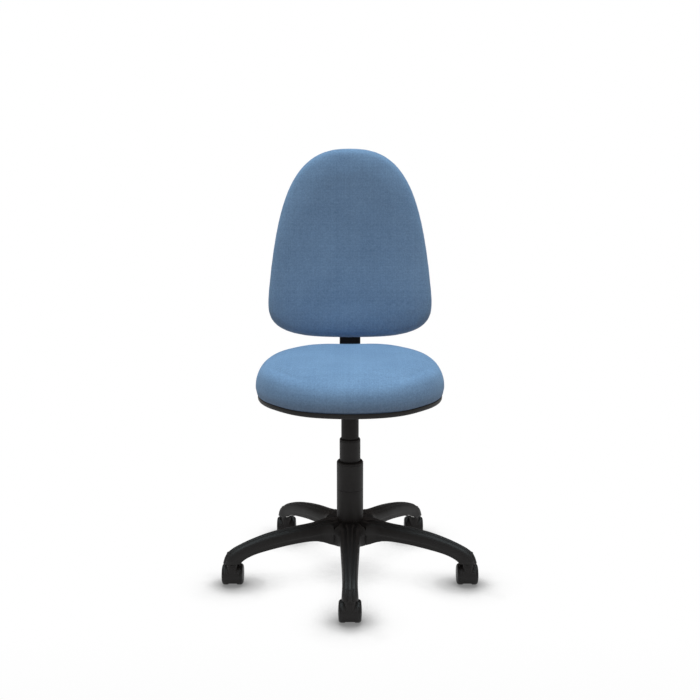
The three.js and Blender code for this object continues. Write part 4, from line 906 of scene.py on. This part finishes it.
def remesh(piece):
    step = piece.modifiers.new("even", "REMESH")
    step.mode = "VOXEL"
    step.voxel_size = VOXEL * MM
    even = piece.modifiers.new("ease", "SMOOTH")
    even.factor = 0.5
    even.iterations = 6
    return settle(piece)


def per_vertex(mesh, field):
    """A mesh's places ("co") or normals ("normal"), a row per vertex."""
    flat = np.zeros(len(mesh.vertices) * 3, np.float32)
    mesh.vertices.foreach_get(field, flat)
    return flat.reshape(-1, 3).astype(np.float64)


def evened(mesh, values):
    """Values per vertex, averaged with their neighbours' a few times."""
    ends = np.zeros(len(mesh.edges) * 2, np.int32)
    mesh.edges.foreach_get("vertices", ends)
    first, second = ends.reshape(-1, 2).T
    size = len(values)
    neighbours = np.bincount(first, minlength=size) + np.bincount(second, minlength=size)
    for _ in range(EVENING):
        total = np.bincount(first, values[second], size) + np.bincount(second, values[first], size)
        values = (values + total) / (1 + neighbours)
    return values


def inflate(piece, held):
    """Lets the cover swell under pressure as cloth, held where it is stapled.

    The foam inside keeps it from moving out by more than the cap, or in by more than a little."""
    rest, normals = per_vertex(piece.data, "co"), per_vertex(piece.data, "normal")
    group = piece.vertex_groups.new(name="held")
    for index in np.nonzero(held > 0.01)[0]:
        group.add([int(index)], float(held[index]), "REPLACE")
    cloth = piece.modifiers.new("cover", "CLOTH")
    for key, value in COVER_CLOTH.items():
        setattr(cloth.settings, key, value)
    cloth.settings.effector_weights.gravity = 0
    cloth.point_cache.frame_end = SIM_FRAMES
    scene = bpy.context.scene
    for number in range(1, SIM_FRAMES + 1):
        scene.frame_set(number)
    graph = bpy.context.evaluated_depsgraph_get()
    move = per_vertex(piece.evaluated_get(graph).data, "co") - rest
    piece.modifiers.clear()
    piece.vertex_groups.clear()
    scene.frame_set(1)
    outward = np.sum(move * normals, axis=1)
    sideways = move - normals * outward[:, None]
    outward = evened(piece.data, np.clip(outward, -SINK * MM, SWELL * MM))
    return rest + normals * outward[:, None] + sideways * SLIDE


def set_places(mesh, points):
    mesh.vertices.foreach_set("co", points.astype(np.float32).ravel())
    mesh.update()


def finish_cushion(piece, points):
    """Moves a cushion's points, eases them and gives the mesh one subdivision."""
    set_places(piece.data, points)
    piece.data.shade_smooth()
    smooth = piece.modifiers.new("ease", "SMOOTH")
    smooth.factor = 0.5
    smooth.iterations = 3
    fine = piece.modifiers.new("fine", "SUBSURF")
    fine.levels = fine.render_levels = 1
    return settle(piece)


# The cover's lower edge, drawn out to the board's edge: from this far inside the outline to this far.
DRAWN_FROM = (-20, 1, 2, 4, 7, 12, 18, 30, 500)
DRAWN_TO = (-20, 1, 1.5, 2.3, 3.3, 5.2, 11.5, 30, 500)


def draw_edge(outline, x, y, height):
    """Moves the points near the bottom of a cushion out, so that its edge meets the shell.

    Changes x and y, and returns how far inside the outline the points then are."""
    inset, out_x, out_y = outline.inset_of(x, y)
    move = (inset - np.interp(inset, DRAWN_FROM, DRAWN_TO)) * (1 - smoothstep(6, 13, height))
    x += out_x * move
    y += out_y * move
    return inset - move


def band(values, middle, width):
    """1 at the middle, fading to both sides."""
    return np.exp(-((values - middle) / width) ** 2)


SEAT_BASE, SEAT_TOP = (z / MM for z in span("seat_cushion", 2))
SEAT_HEIGHT = SEAT_TOP - SEAT_BASE
PAN_DROOP = 3.2  # how much lower the pan's rim and the cover's edge hang at the front
SEAT_HOLLOW = 2.4  # where it is sat on
REAR_LIFT, REAR_BAND = 4.2, 0.5  # of the top towards the rear, and the faint band across it
CORNER_ROLL, CORNER_CREASE = 1.6, 3.2  # of the front corners


def seat_point(point, height):
    """A point of the seat's outline at a share of its height: the front edge falls away."""
    y = point.y + SEAT_MIDDLE
    keep = 1 - 0.22 * smoothstep(0, 1, (SEAT_MIDDLE - 95 - y) / 122)
    return Vector((point.x, y, SEAT_BASE + height * SEAT_HEIGHT * keep)) * MM


def build_seat_cushion():
    levels = [(26.6, 0.0), (7.6, 0.0), (5.6, 0.04), (3.6, 0.12), (2.8, 0.25), (4.2, 0.42), (8.2, 0.6),
              (15.1, 0.75), (26.6, 0.87), (44.6, 0.945), (68.6, 0.98), (112.6, 0.985)]
    piece = remesh(outline_loft("seat_pad", SEAT, levels, seat_point, 96, (1.0, 0.5)))
    floor = SEAT_BASE * MM
    held = 1 - smoothstep(floor + 3 * MM, floor + 16 * MM, per_vertex(piece.data, "co")[:, 2])
    points = inflate(piece, held)
    x, y = points[:, 0] / MM, points[:, 1] / MM
    up = smoothstep((SEAT_BASE + 30) * MM, (SEAT_BASE + 60) * MM, points[:, 2])
    hollow = np.exp(-((x / 135) ** 2 + ((y - 10) / 115) ** 2) ** 1.3)
    points[:, 2] -= SEAT_HOLLOW * MM * hollow * up
    points[:, 2] += REAR_LIFT * MM * smoothstep(60, 175, y) * up
    points[:, 2] -= REAR_BAND * MM * band(y, 142, 16) * (1 - smoothstep(120, 175, np.abs(x))) * up
    inside, _, _ = SEAT.inset_of(x, y - SEAT_MIDDLE)
    corner = smoothstep(70, 130, np.abs(x)) * smoothstep(40, 110, -y)
    crease, roll = band(inside, 33, 7) * corner, band(inside, 17, 10) * corner
    points += per_vertex(piece.data, "normal") * ((roll * CORNER_ROLL - crease * CORNER_CREASE) * MM)[:, None]
    low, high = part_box("seat_cushion")
    for axis in (0, 1):
        points[:, axis] = match_span(points[:, axis], low[axis] - 0.8 * MM, high[axis] + 0.8 * MM)
    points[:, 2] = match_span(points[:, 2], floor + 0.1 * MM, high.z + 2.5 * MM)
    finish_cushion(piece, points)
    x, y, z = per_vertex(piece.data, "co").T / MM
    y -= SEAT_MIDDLE
    inset = draw_edge(SEAT, x, y, z - SEAT_BASE)
    y += SEAT_MIDDLE
    rim = (1 - smoothstep(8.5, 13, inset)) * (1 - smoothstep(4, 26, z - SEAT_BASE))
    droop = PAN_DROOP * smoothstep(150, 215, -y) * rim
    set_places(piece.data, np.stack([x, y, z - droop], axis=1) * MM)
    fit(piece, "seat", "blue_fabric", "seat_cushion")


BACK_REAR, BACK_FRONT = 20.0, 71.5  # the cushion's reach in front of the bar's plane
BACK_SHAPE = 1.0  # depth of the lumbar swell and of the hollow above it
BACK_FOLD = 0.3


def back_point(point, depth):
    """A point of the back's outline, at a depth in front of the bar's plane."""
    return BACK @ mm(point.x, -depth, BACK_WIDEST + point.y)


def moved(points, matrix):
    """Rows of points moved by a matrix."""
    return points @ np.array(matrix.to_3x3()).T + np.array(matrix.translation)


def build_back_cushion():
    levels = [(28.4, 0.0), (8.9, 0.0), (5.6, 0.05), (3.4, 0.15), (2.6, 0.32), (3.4, 0.52), (7.0, 0.7),
              (13.4, 0.84), (22.4, 0.93), (34.4, 0.965), (62.4, 0.975)]
    thick = BACK_FRONT - BACK_REAR - 2
    levels = [(inset, BACK_REAR + share * thick) for inset, share in levels]
    piece = remesh(outline_loft("back_pad", BACK_OUTLINE, levels, back_point, 96, (0.6, 1.0)))
    away = BACK.inverted()
    depth = -moved(per_vertex(piece.data, "co"), away)[:, 1]
    held = 1 - smoothstep((BACK_REAR + 3) * MM, (BACK_REAR + 15) * MM, depth)
    local = moved(inflate(piece, held), away)
    x, height = local[:, 0] / MM, local[:, 2] / MM
    forward = smoothstep((BACK_REAR + 20) * MM, (BACK_REAR + 44) * MM, -local[:, 1])
    lumbar = band(height, 120, 62) * (1 - smoothstep(90, 215, np.abs(x)))
    hollow = band(height, 285, 95) * (1 - smoothstep(60, 170, np.abs(x)))
    inside, _, _ = BACK_OUTLINE.inset_of(x, height - BACK_WIDEST)
    local[:, 1] -= (lumbar - hollow) * BACK_SHAPE * MM * forward
    local[:, 1] += BACK_FOLD * MM * band(inside, 27, 6) * forward
    spans = ((-212.2, 212.2), (-BACK_FRONT - 2, -BACK_REAR - 0.1), (BACK_WIDEST - 98.5, BACK_WIDEST + 388.5))
    for axis, (low, high) in enumerate(spans):
        local[:, axis] = match_span(local[:, axis], low * MM, high * MM)
    finish_cushion(piece, moved(local, BACK))
    x, y, z = moved(per_vertex(piece.data, "co"), away).T / MM
    z -= BACK_WIDEST
    draw_edge(BACK_OUTLINE, x, z, -y - BACK_REAR)
    z += BACK_WIDEST
    set_places(piece.data, moved(np.stack([x, y, z], axis=1) * MM, BACK))
    fit(piece, "back", "blue_fabric", "back_cushion")


# ---------------------------------------------------------------- shells
def pan_point(point, height):
    """A point of the seat's outline at a height: the pan's rim hangs a little lower at the front."""
    y = point.y + SEAT_MIDDLE
    droop = PAN_DROOP * smoothstep(-150, -215, y)
    return mm(point.x, y, height - droop)


def build_hems():
    """The covers' edges, drawn round the boards and down inside the shells."""
    hems = {
        "seat": (SEAT, SEAT_BASE, pan_point, [
            (12.6, -5.5), (9.0, -6.2), (7.7, -5.2), (7.3, -1.6), (7.0, 0.2), (7.6, 1.4), (12.6, 1.6)]),
        "back": (BACK_OUTLINE, BACK_REAR, back_point, [
            (13.2, -5.5), (10.6, -6.0), (9.5, -4.6), (9.2, -1.4), (8.6, 0.3), (9.2, 1.6), (13.2, 1.8)]),
    }
    for body, (outline, start, to_space, section) in hems.items():
        levels = [(inset, start + height) for inset, height in [*section, section[0]]]
        hem = outline_loft(f"{body}_hem", outline, levels, to_space, closed_ends=False, sharp=60)
        fit(hem, body, "blue_fabric", f"{body}_cushion")


ARM_PAD = 178  # from the middle to each arm pad's middle


def build_shells():
    bottom, top = (z / MM for z in span("seat_shell", 2))
    floor = bottom + 2.0  # the arm pads stand 2 mm proud of the pan
    rim = top - floor
    outside = [(120, 0), (70, 0), (9, 0), (7.0, 0.4), (5.4, 1.5), (4.4, 3.2), (4.0, 5.4), (3.9, rim - 0.9),
               (4.2, rim - 0.2), (4.8, rim)]
    inside = [(5.9, rim), (6.5, rim - 0.5), (6.6, rim - 2), (7.4, 4.2), (9.5, 2.8), (14, 2.5), (70, 2.5),
              (120, 2.5)]
    pan = outline_loft("seat_pan", SEAT, [*outside, *inside], lambda p, h: pan_point(p, floor + h), sharp=40)
    pads = [rounded_box(f"arm_pad_{side}", (sign * ARM_PAD - 22, 30, bottom),
                        (sign * ARM_PAD + 22, 90, floor + 1.5), 0.8) for side, sign in SIDES.items()]
    ribs = [rounded_box(f"pan_rib_{k}", (x - 1.2, -170, floor - 1.2), (x + 1.2, -98, floor + 1), 0.5)
            for k, x in enumerate((-96, -48, 0, 48, 96))]
    fit(boolean(pan, [*pads, *ribs], "UNION", 40), "seat", "black_nylon", "seat_shell")

    rear = 7.9
    outside = [(110, 0), (64, 0), (15, 0), (12.2, 0.3), (9.6, 1.3), (7.6, 3.0), (6.5, 5.2), (6.0, 8),
               (6.0, 10.9), (6.4, 11.5), (7.0, 11.8)]
    inside = [(8.0, 11.8), (8.5, 11.2), (8.6, 8), (9.3, 5.2), (11, 3.4), (13.5, 2.5), (64, 2.5), (110, 2.5)]
    shell = outline_loft("back_cover", BACK_OUTLINE, [*outside, *inside],
                         lambda p, depth: back_point(p, rear + depth), sharp=40)
    fit(shell, "back", "black_nylon", "back_shell")


# ---------------------------------------------------------------- mechanism and levers
LEVER_RADIUS = 3.5
AXLE_HUB_BORE = 5.3


def lever_path(corners, radius=9.0, steps=7):
    """Points along straight stretches with rounded corners, in metres."""
    corners = [Vector(c) for c in corners]
    path = [corners[0]]
    for before, here, after in zip(corners, corners[1:], corners[2:]):
        start = here + (before - here).normalized() * radius * MM
        end = here + (after - here).normalized() * radius * MM
        for k in range(steps + 1):
            t = k / steps
            path.append(start * (1 - t) ** 2 + here * (2 * t * (1 - t)) + end * t ** 2)
    path.append(corners[-1])
    return path


def grip(name, node, sign):
    """A paddle grip: a round neck on the rod that widens into a flat, softly rounded blade."""
    low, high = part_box(node)
    inner, outer = (low.x, high.x) if sign > 0 else (high.x, low.x)
    middle = (low + high) / 2
    half_width, half_thick = (high.y - low.y) / 2, (high.z - low.z) / 2
    rings = []
    for k in range(25):
        t = k / 24
        spread = lerp(0.5, 1.0, smoothstep(0.0, 0.38, t))
        closing = math.sqrt(max(1 - max((t - 0.82) / 0.18, 0) ** 2.2, 0.0)) if t < 1 else 0.12
        wide = half_width * spread * max(closing, 0.12)
        thick = half_thick * lerp(1.0, 0.82, smoothstep(0.3, 1, t)) * max(closing, 0.2)
        power = lerp(1.0, 0.62, smoothstep(0.0, 0.4, t))
        loop = []
        for j in range(28):
            turn = 2 * math.pi * j / 28
            c, s = math.cos(turn), math.sin(turn)
            loop.append(Vector((lerp(inner, outer, t), middle.y + math.copysign(abs(c) ** power, c) * wide,
                                middle.z + math.copysign(abs(s) ** power, s) * thick)))
        rings.append(loop)
    return loft(name, rings, sharp=50)


def build_mechanism():
    pressed = (("housing", "mechanism_housing", 1.4), ("mounting_plate", "mechanism_plate", 0.6))
    for name, node, edge in pressed:
        fit(refined(name, node, edge), "seat", "black_steel", node)
    left, right = (x / MM for x in span("tilt_axle", 0))
    axle = turned("axle_tilt", rounded([
        (0, left), (5, left, 0.8), (5, right - 5), (9, right - 5, 0.6), (9, right, 1.4), (5.5, right),
        (5.0, right - 1.2), (0, right - 1.2)], 0.3, steps=3), TILT_AXLE, "X", 48)
    fit(axle, "seat", "zinc_steel", "tilt_axle")
    for number in range(1, 5):
        node = f"seat_screw_{number}"
        place = centre(node)
        screw = screw_mesh(f"pan_screw_{number}", *(z / MM for z in span(node, 2)))
        screw.data.transform(Matrix.Translation((place.x, place.y, 0)))
        fit(screw, "seat", "zinc_steel", node)

    low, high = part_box("lift_lever")
    height, drop = high.z - LEVER_RADIUS * MM, centre("lift_lever_grip").z
    path = lever_path([(low.x, 0, height), (0.052, 0, height), (0.0758, 0, drop), (high.x, 0, drop)])
    lever = soften_edges(sweep("lever_lift", path, circle(LEVER_RADIUS), up=(0, 1, 0)), 0.5)
    fit(lever, "lift_handle", "black_steel", "lift_lever")
    fit(grip("grip_lift", "lift_lever_grip", 1), "lift_handle", "black_nylon", "lift_lever_grip")

    low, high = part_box("tilt_lever")
    reach = centre("tilt_lever_grip").y
    hub_middle = high.x - 5.5 * MM
    path = lever_path([(hub_middle, TILT_AXLE.y - 7 * MM, TILT_AXLE.z), (hub_middle, reach, TILT_AXLE.z),
                       (low.x, reach, TILT_AXLE.z)])
    arm = sweep("lever_tilt", path, circle(LEVER_RADIUS))
    hub = turned_ring("hub", [(AXLE_HUB_BORE, -5.5), (10, -5.5), (10, 5.5), (AXLE_HUB_BORE, 5.5)], 0.8,
                      (hub_middle, TILT_AXLE.y, TILT_AXLE.z), "X", 48)
    fit(boolean(arm, [hub], "UNION"), "tilt_handle", "black_steel", "tilt_lever")
    fit(grip("grip_tilt", "tilt_lever_grip", -1), "tilt_handle", "black_nylon", "tilt_lever_grip")


def screw_mesh(name, head_bottom, tip):
    """A pan-head screw with a hexagon socket, its head down and its thread up."""
    thread = []
    height = head_bottom + 4.4
    while height < tip - 1.6:
        thread += [(2.5, height), (3.0, height + 0.45)]
        height += 0.9
    profile = [(0, head_bottom + 2.2), (2.3, head_bottom + 2.2), (2.3, head_bottom), (4.6, head_bottom),
               (5.7, head_bottom + 0.9), (6.0, head_bottom + 2.2), (6.0, head_bottom + 3.6),
               (2.6, head_bottom + 3.6), *thread, (2.4, tip - 1.2), (0, tip)]
    return turned(name, profile, segments=30)


# ---------------------------------------------------------------- back support
def bar_path():
    """The middle line of the flat bar, from the tilt axle round the bend to its top."""
    radius = 50 * MM
    rise = (BACK_PLANE.z - TILT_AXLE.z) / math.cos(RECLINE)
    corner = Vector((0, BACK_PLANE.y - rise * math.sin(RECLINE), TILT_AXLE.z))
    turn = math.pi / 2 - RECLINE
    tangent = radius * math.tan(turn / 2)
    bend = Vector((0, corner.y - tangent, TILT_AXLE.z + radius))
    path = [Vector((0, TILT_AXLE.y + 9 * MM, TILT_AXLE.z)), Vector((0, bend.y - 20 * MM, TILT_AXLE.z))]
    for k in range(25):
        angle = -math.pi / 2 + turn * k / 24
        path.append(bend + Vector((0, math.cos(angle), math.sin(angle))) * radius)
    return [*path, BACK @ mm(0, 0, 60), BACK @ mm(0, 0, 175)]


def build_bar():
    section = rounded([(-25, -4), (25, -4), (25, 4), (-25, 4)], 2.2, closed=True, steps=4)
    bar = sweep("support_bar", bar_path(), section, up=(0, 0.01, 1), sharp=50)
    hub = turned_ring("hub", [(AXLE_HUB_BORE, -31), (11, -31), (11, 31), (AXLE_HUB_BORE, 31)], 1.0,
                      TILT_AXLE, "X", 48)
    fit(boolean(bar, [hub], "UNION", 40), "bar", "black_steel", "back_bar")


BAR_HOLE = (25.3, 4.3)  # half width and half depth of the hole that the bar runs in
KNOB_HEIGHT = 95
SCREW_ACROSS, SCREW_HEIGHT = 41, 140
STUD_BORE = 4.3


def tube_walls(name, half_x, half_d, heights, corner):
    """An upright sleeve round the bar through (height, extra width) levels, open at both ends."""
    def loop(hx, hd, height):
        radius = min(corner, hd * 0.8)
        outline = rounded([(-hx, -hd), (hx, -hd), (hx, hd), (-hx, hd)], radius, closed=True, steps=4)
        return [BACK @ mm(a, b, height) for a, b in outline]
    rings = [loop(half_x + extra, half_d + extra, height) for height, extra in heights]
    rings += [loop(*BAR_HOLE, height) for height, _ in (heights[-1], heights[0])]
    return loft(name, [*rings, rings[0]], closed_ends=False, sharp=40)


def build_back_support():
    build_bar()
    low, high = -60.0, 50.0
    end = [(0, -0.8), (0.8, 0), (5, 0), (5.6, -0.7), (7, -0.7), (7.6, 0)]  # with a groove round it
    heights = [(low + z, extra) for z, extra in end] + [(high - z, extra) for z, extra in reversed(end)]
    fit(tube_walls("sleeve_cover", 27.3, 6.3, heights, 3.2), "bar", "black_nylon", "bar_sleeve")

    body = tube_walls("bracket_body", 31.3, 7.6, [(60, -1.2), (61.2, 0), (168.8, 0), (170, -1.2)], 4)
    knob_place = mm(0, 0, KNOB_HEIGHT)
    added = []
    for side, sign in SIDES.items():
        near, far = sorted((sign * 29, sign * 51))
        added.append(rounded_box(f"ear_{side}", (near, -7.6, 130), (far, -4.3, 150), 1.2))
        near, far = sorted((sign * 30, sign * 40))
        added.append(rounded_box(f"gusset_{side}", (near, -5.0, 138.5), (far, 4.5, 141.5), 1.0))
    added.append(turned_ring("boss", [
        (STUD_BORE, 5.5), (14, 5.5), (11, 9.0, 2), (11, 12.6), (STUD_BORE, 12.6)], 0.6, knob_place, "Y", 48))
    bores = [rod("stud_bore", STUD_BORE, 3.9, 30, knob_place, "Y", 32)]
    bores += [rod("screw_bore", 3.3, -20, 0, mm(sign * SCREW_ACROSS, 0, SCREW_HEIGHT), "Y", 24)
              for sign in SIDES.values()]
    for part in (*added, *bores):
        part.data.transform(BACK)
    bracket = boolean(boolean(body, added, "UNION", 40), bores, "DIFFERENCE", 40)
    bracket.name = "bracket"
    fit(bracket, "back", "black_nylon", "back_bracket")
    for side, sign in SIDES.items():
        screw = screw_mesh(f"back_bolt_{side}", 0.0, 3.6 + 13.1)
        place = Matrix.Translation(mm(sign * SCREW_ACROSS, -0.4, SCREW_HEIGHT))
        screw.data.transform(BACK @ place @ Matrix.Rotation(math.pi / 2, 4, "X"))
        fit(screw, "back", "zinc_steel", f"back_screw_{side}")
    build_knob()


def build_knob():
    """A six-lobed hand knob with a dished, ringed face."""
    front = 12.9
    levels = [(0.86, 0), (0.93, 0.5), (0.985, 1.8), (1.0, 4), (1.0, 12), (0.985, 14.6), (0.94, 16.6),
              (0.85, 17.7), (0.74, 18.0), (0.7, 17.6), (0.66, 17.4), (0.3, 17.0)]
    rings = []
    for scale, out in levels:
        lobes = 1.0 if out > 0.1 else 0.8
        loop = []
        for k in range(120):
            turn = 2 * math.pi * k / 120
            radius = 21 - 2.5 * lobes * (1 - math.cos(6 * turn)) / 2 * smoothstep(0.5, 0.85, scale)
            across, up = radius * scale * math.cos(turn), radius * scale * math.sin(turn)
            loop.append(BACK @ mm(across, front + out, KNOB_HEIGHT + up))
        rings.append(loop)
    head = loft("hand_knob", rings, sharp=50)
    stud = turned("stud", rounded([(0, 4.3), (4.0, 4.3, 0.5), (4.0, 14), (0, 14)], 0.3, steps=2),
                  mm(0, 0, KNOB_HEIGHT), "Y", 32)
    stud.data.transform(BACK)
    fit(boolean(head, [stud], "UNION", 45), "knob", "black_nylon", "height_knob")


# ---------------------------------------------------------------- stage
WALL_LIGHT, CEILING_LIGHT = (0.385, 0.332, 0.312), (4.0, 4.65, 4.9)
BEHIND = 0.35  # share of the light that comes from behind the chair


def build_stage():
    # The floor glows instead of being lit, and its glow carries painted shade.
    corners = [(-30, -12, 0), (30, -12, 0), (30, 60, 0), (-30, 60, 0)]
    floor = add_object("floor", corners, [(0, 1, 2, 3)])
    floor.visible_diffuse = False
    shader = Shader("floor_glow_painted_shadows", Specular_IOR_Level=0.0, Roughness=0.95)
    # Painted contact shadows: the glow is darkened by ambient occlusion close to the casters and the parts above
    # the floor.
    near = shader.feed(shader.node("ShaderNodeAmbientOcclusion", samples=16), {"Distance": 0.11})
    shade = shader.ramp(near.outputs["AO"], (0.1, 0.2), (0.5, 0.28), (0.8, 0.58), (0.95, 1.0))
    # Painted shade: the glow dims a little in a band in front of the chair, towards the camera, and is full again
    # near the chair and far off.
    along = shader.math("MULTIPLY_ADD", shader.split(shader.place)[1], 0.2, 1.0)
    depth = shader.ramp(along, (0.45, 1.0), (0.72, 0.93), (0.93, 1.0))
    shader.set(Base_Color=(0, 0, 0, 1), Emission_Color=shader.mix(1.0, shade, depth, "MULTIPLY"),
               Emission_Strength=1.0)
    floor.data.materials.append(shader.material)


def build_light():
    """A white room, bright above and dimmer behind, and one large lamp. The camera sees plain white."""
    world = bpy.data.worlds.new("studio")
    bpy.context.scene.world = world
    world.use_nodes = True
    world.node_tree.nodes.clear()
    room = Graph(world.node_tree)
    direction = room.split(room.node("ShaderNodeTexCoord").outputs["Generated"])
    sky = room.ramp(direction[2], (0.0, WALL_LIGHT), (0.8, WALL_LIGHT), (0.94, CEILING_LIGHT))
    dimmed = room.feed(room.node("ShaderNodeMapRange"), {
        "Value": direction[1], "From Min": 0.0, "From Max": 1.0, "To Min": 1.0, "To Max": BEHIND})
    lighting, seen = room.node("ShaderNodeBackground"), room.node("ShaderNodeBackground")
    room.feed(lighting, {"Color": sky, "Strength": dimmed.outputs["Result"]})
    room.feed(seen, {"Color": (1, 1, 1, 1), "Strength": 1.0})
    to_camera = room.node("ShaderNodeLightPath").outputs["Is Camera Ray"]
    choice = room.feed(room.node("ShaderNodeMixShader"), {
        0: to_camera, 1: lighting.outputs[0], 2: seen.outputs[0]})
    room.feed(room.node("ShaderNodeOutputWorld"), {0: choice.outputs[0]})

    lamp = bpy.data.lights.new("key", "AREA")
    lamp.size = 2.2
    lamp.energy = 4.0
    lamp.color = (0.97, 0.985, 1.0)
    light = add("key", lamp)
    light.location = (0.3, -0.4, 3.2)
    light.rotation_euler = (Vector((0, 0, 0.5)) - light.location).to_track_quat("-Z", "Y").to_euler()
    view = bpy.context.scene.view_settings
    view.view_transform = "Standard"
    view.look = "None"


def build_camera():
    """A level-headed product view: 2.24 m in front, 0.94 m up, looking down by just under 10 degrees."""
    data = bpy.data.cameras.new("camera")
    data.sensor_width = 36
    data.angle = math.radians(40)
    data.dof.use_dof = False
    camera = add("camera", data)
    camera.location = (0, -2.2428, 0.9377)
    camera.rotation_euler = (math.radians(90 - 9.74), 0, 0)
    bpy.context.scene.camera = camera


build_camera()
build_stage()
build_light()
dress_cad_nodes()
build_column()
build_base()
build_casters()
build_shells()
build_hems()
build_mechanism()
build_back_support()
build_seat_cushion()
build_back_cushion()
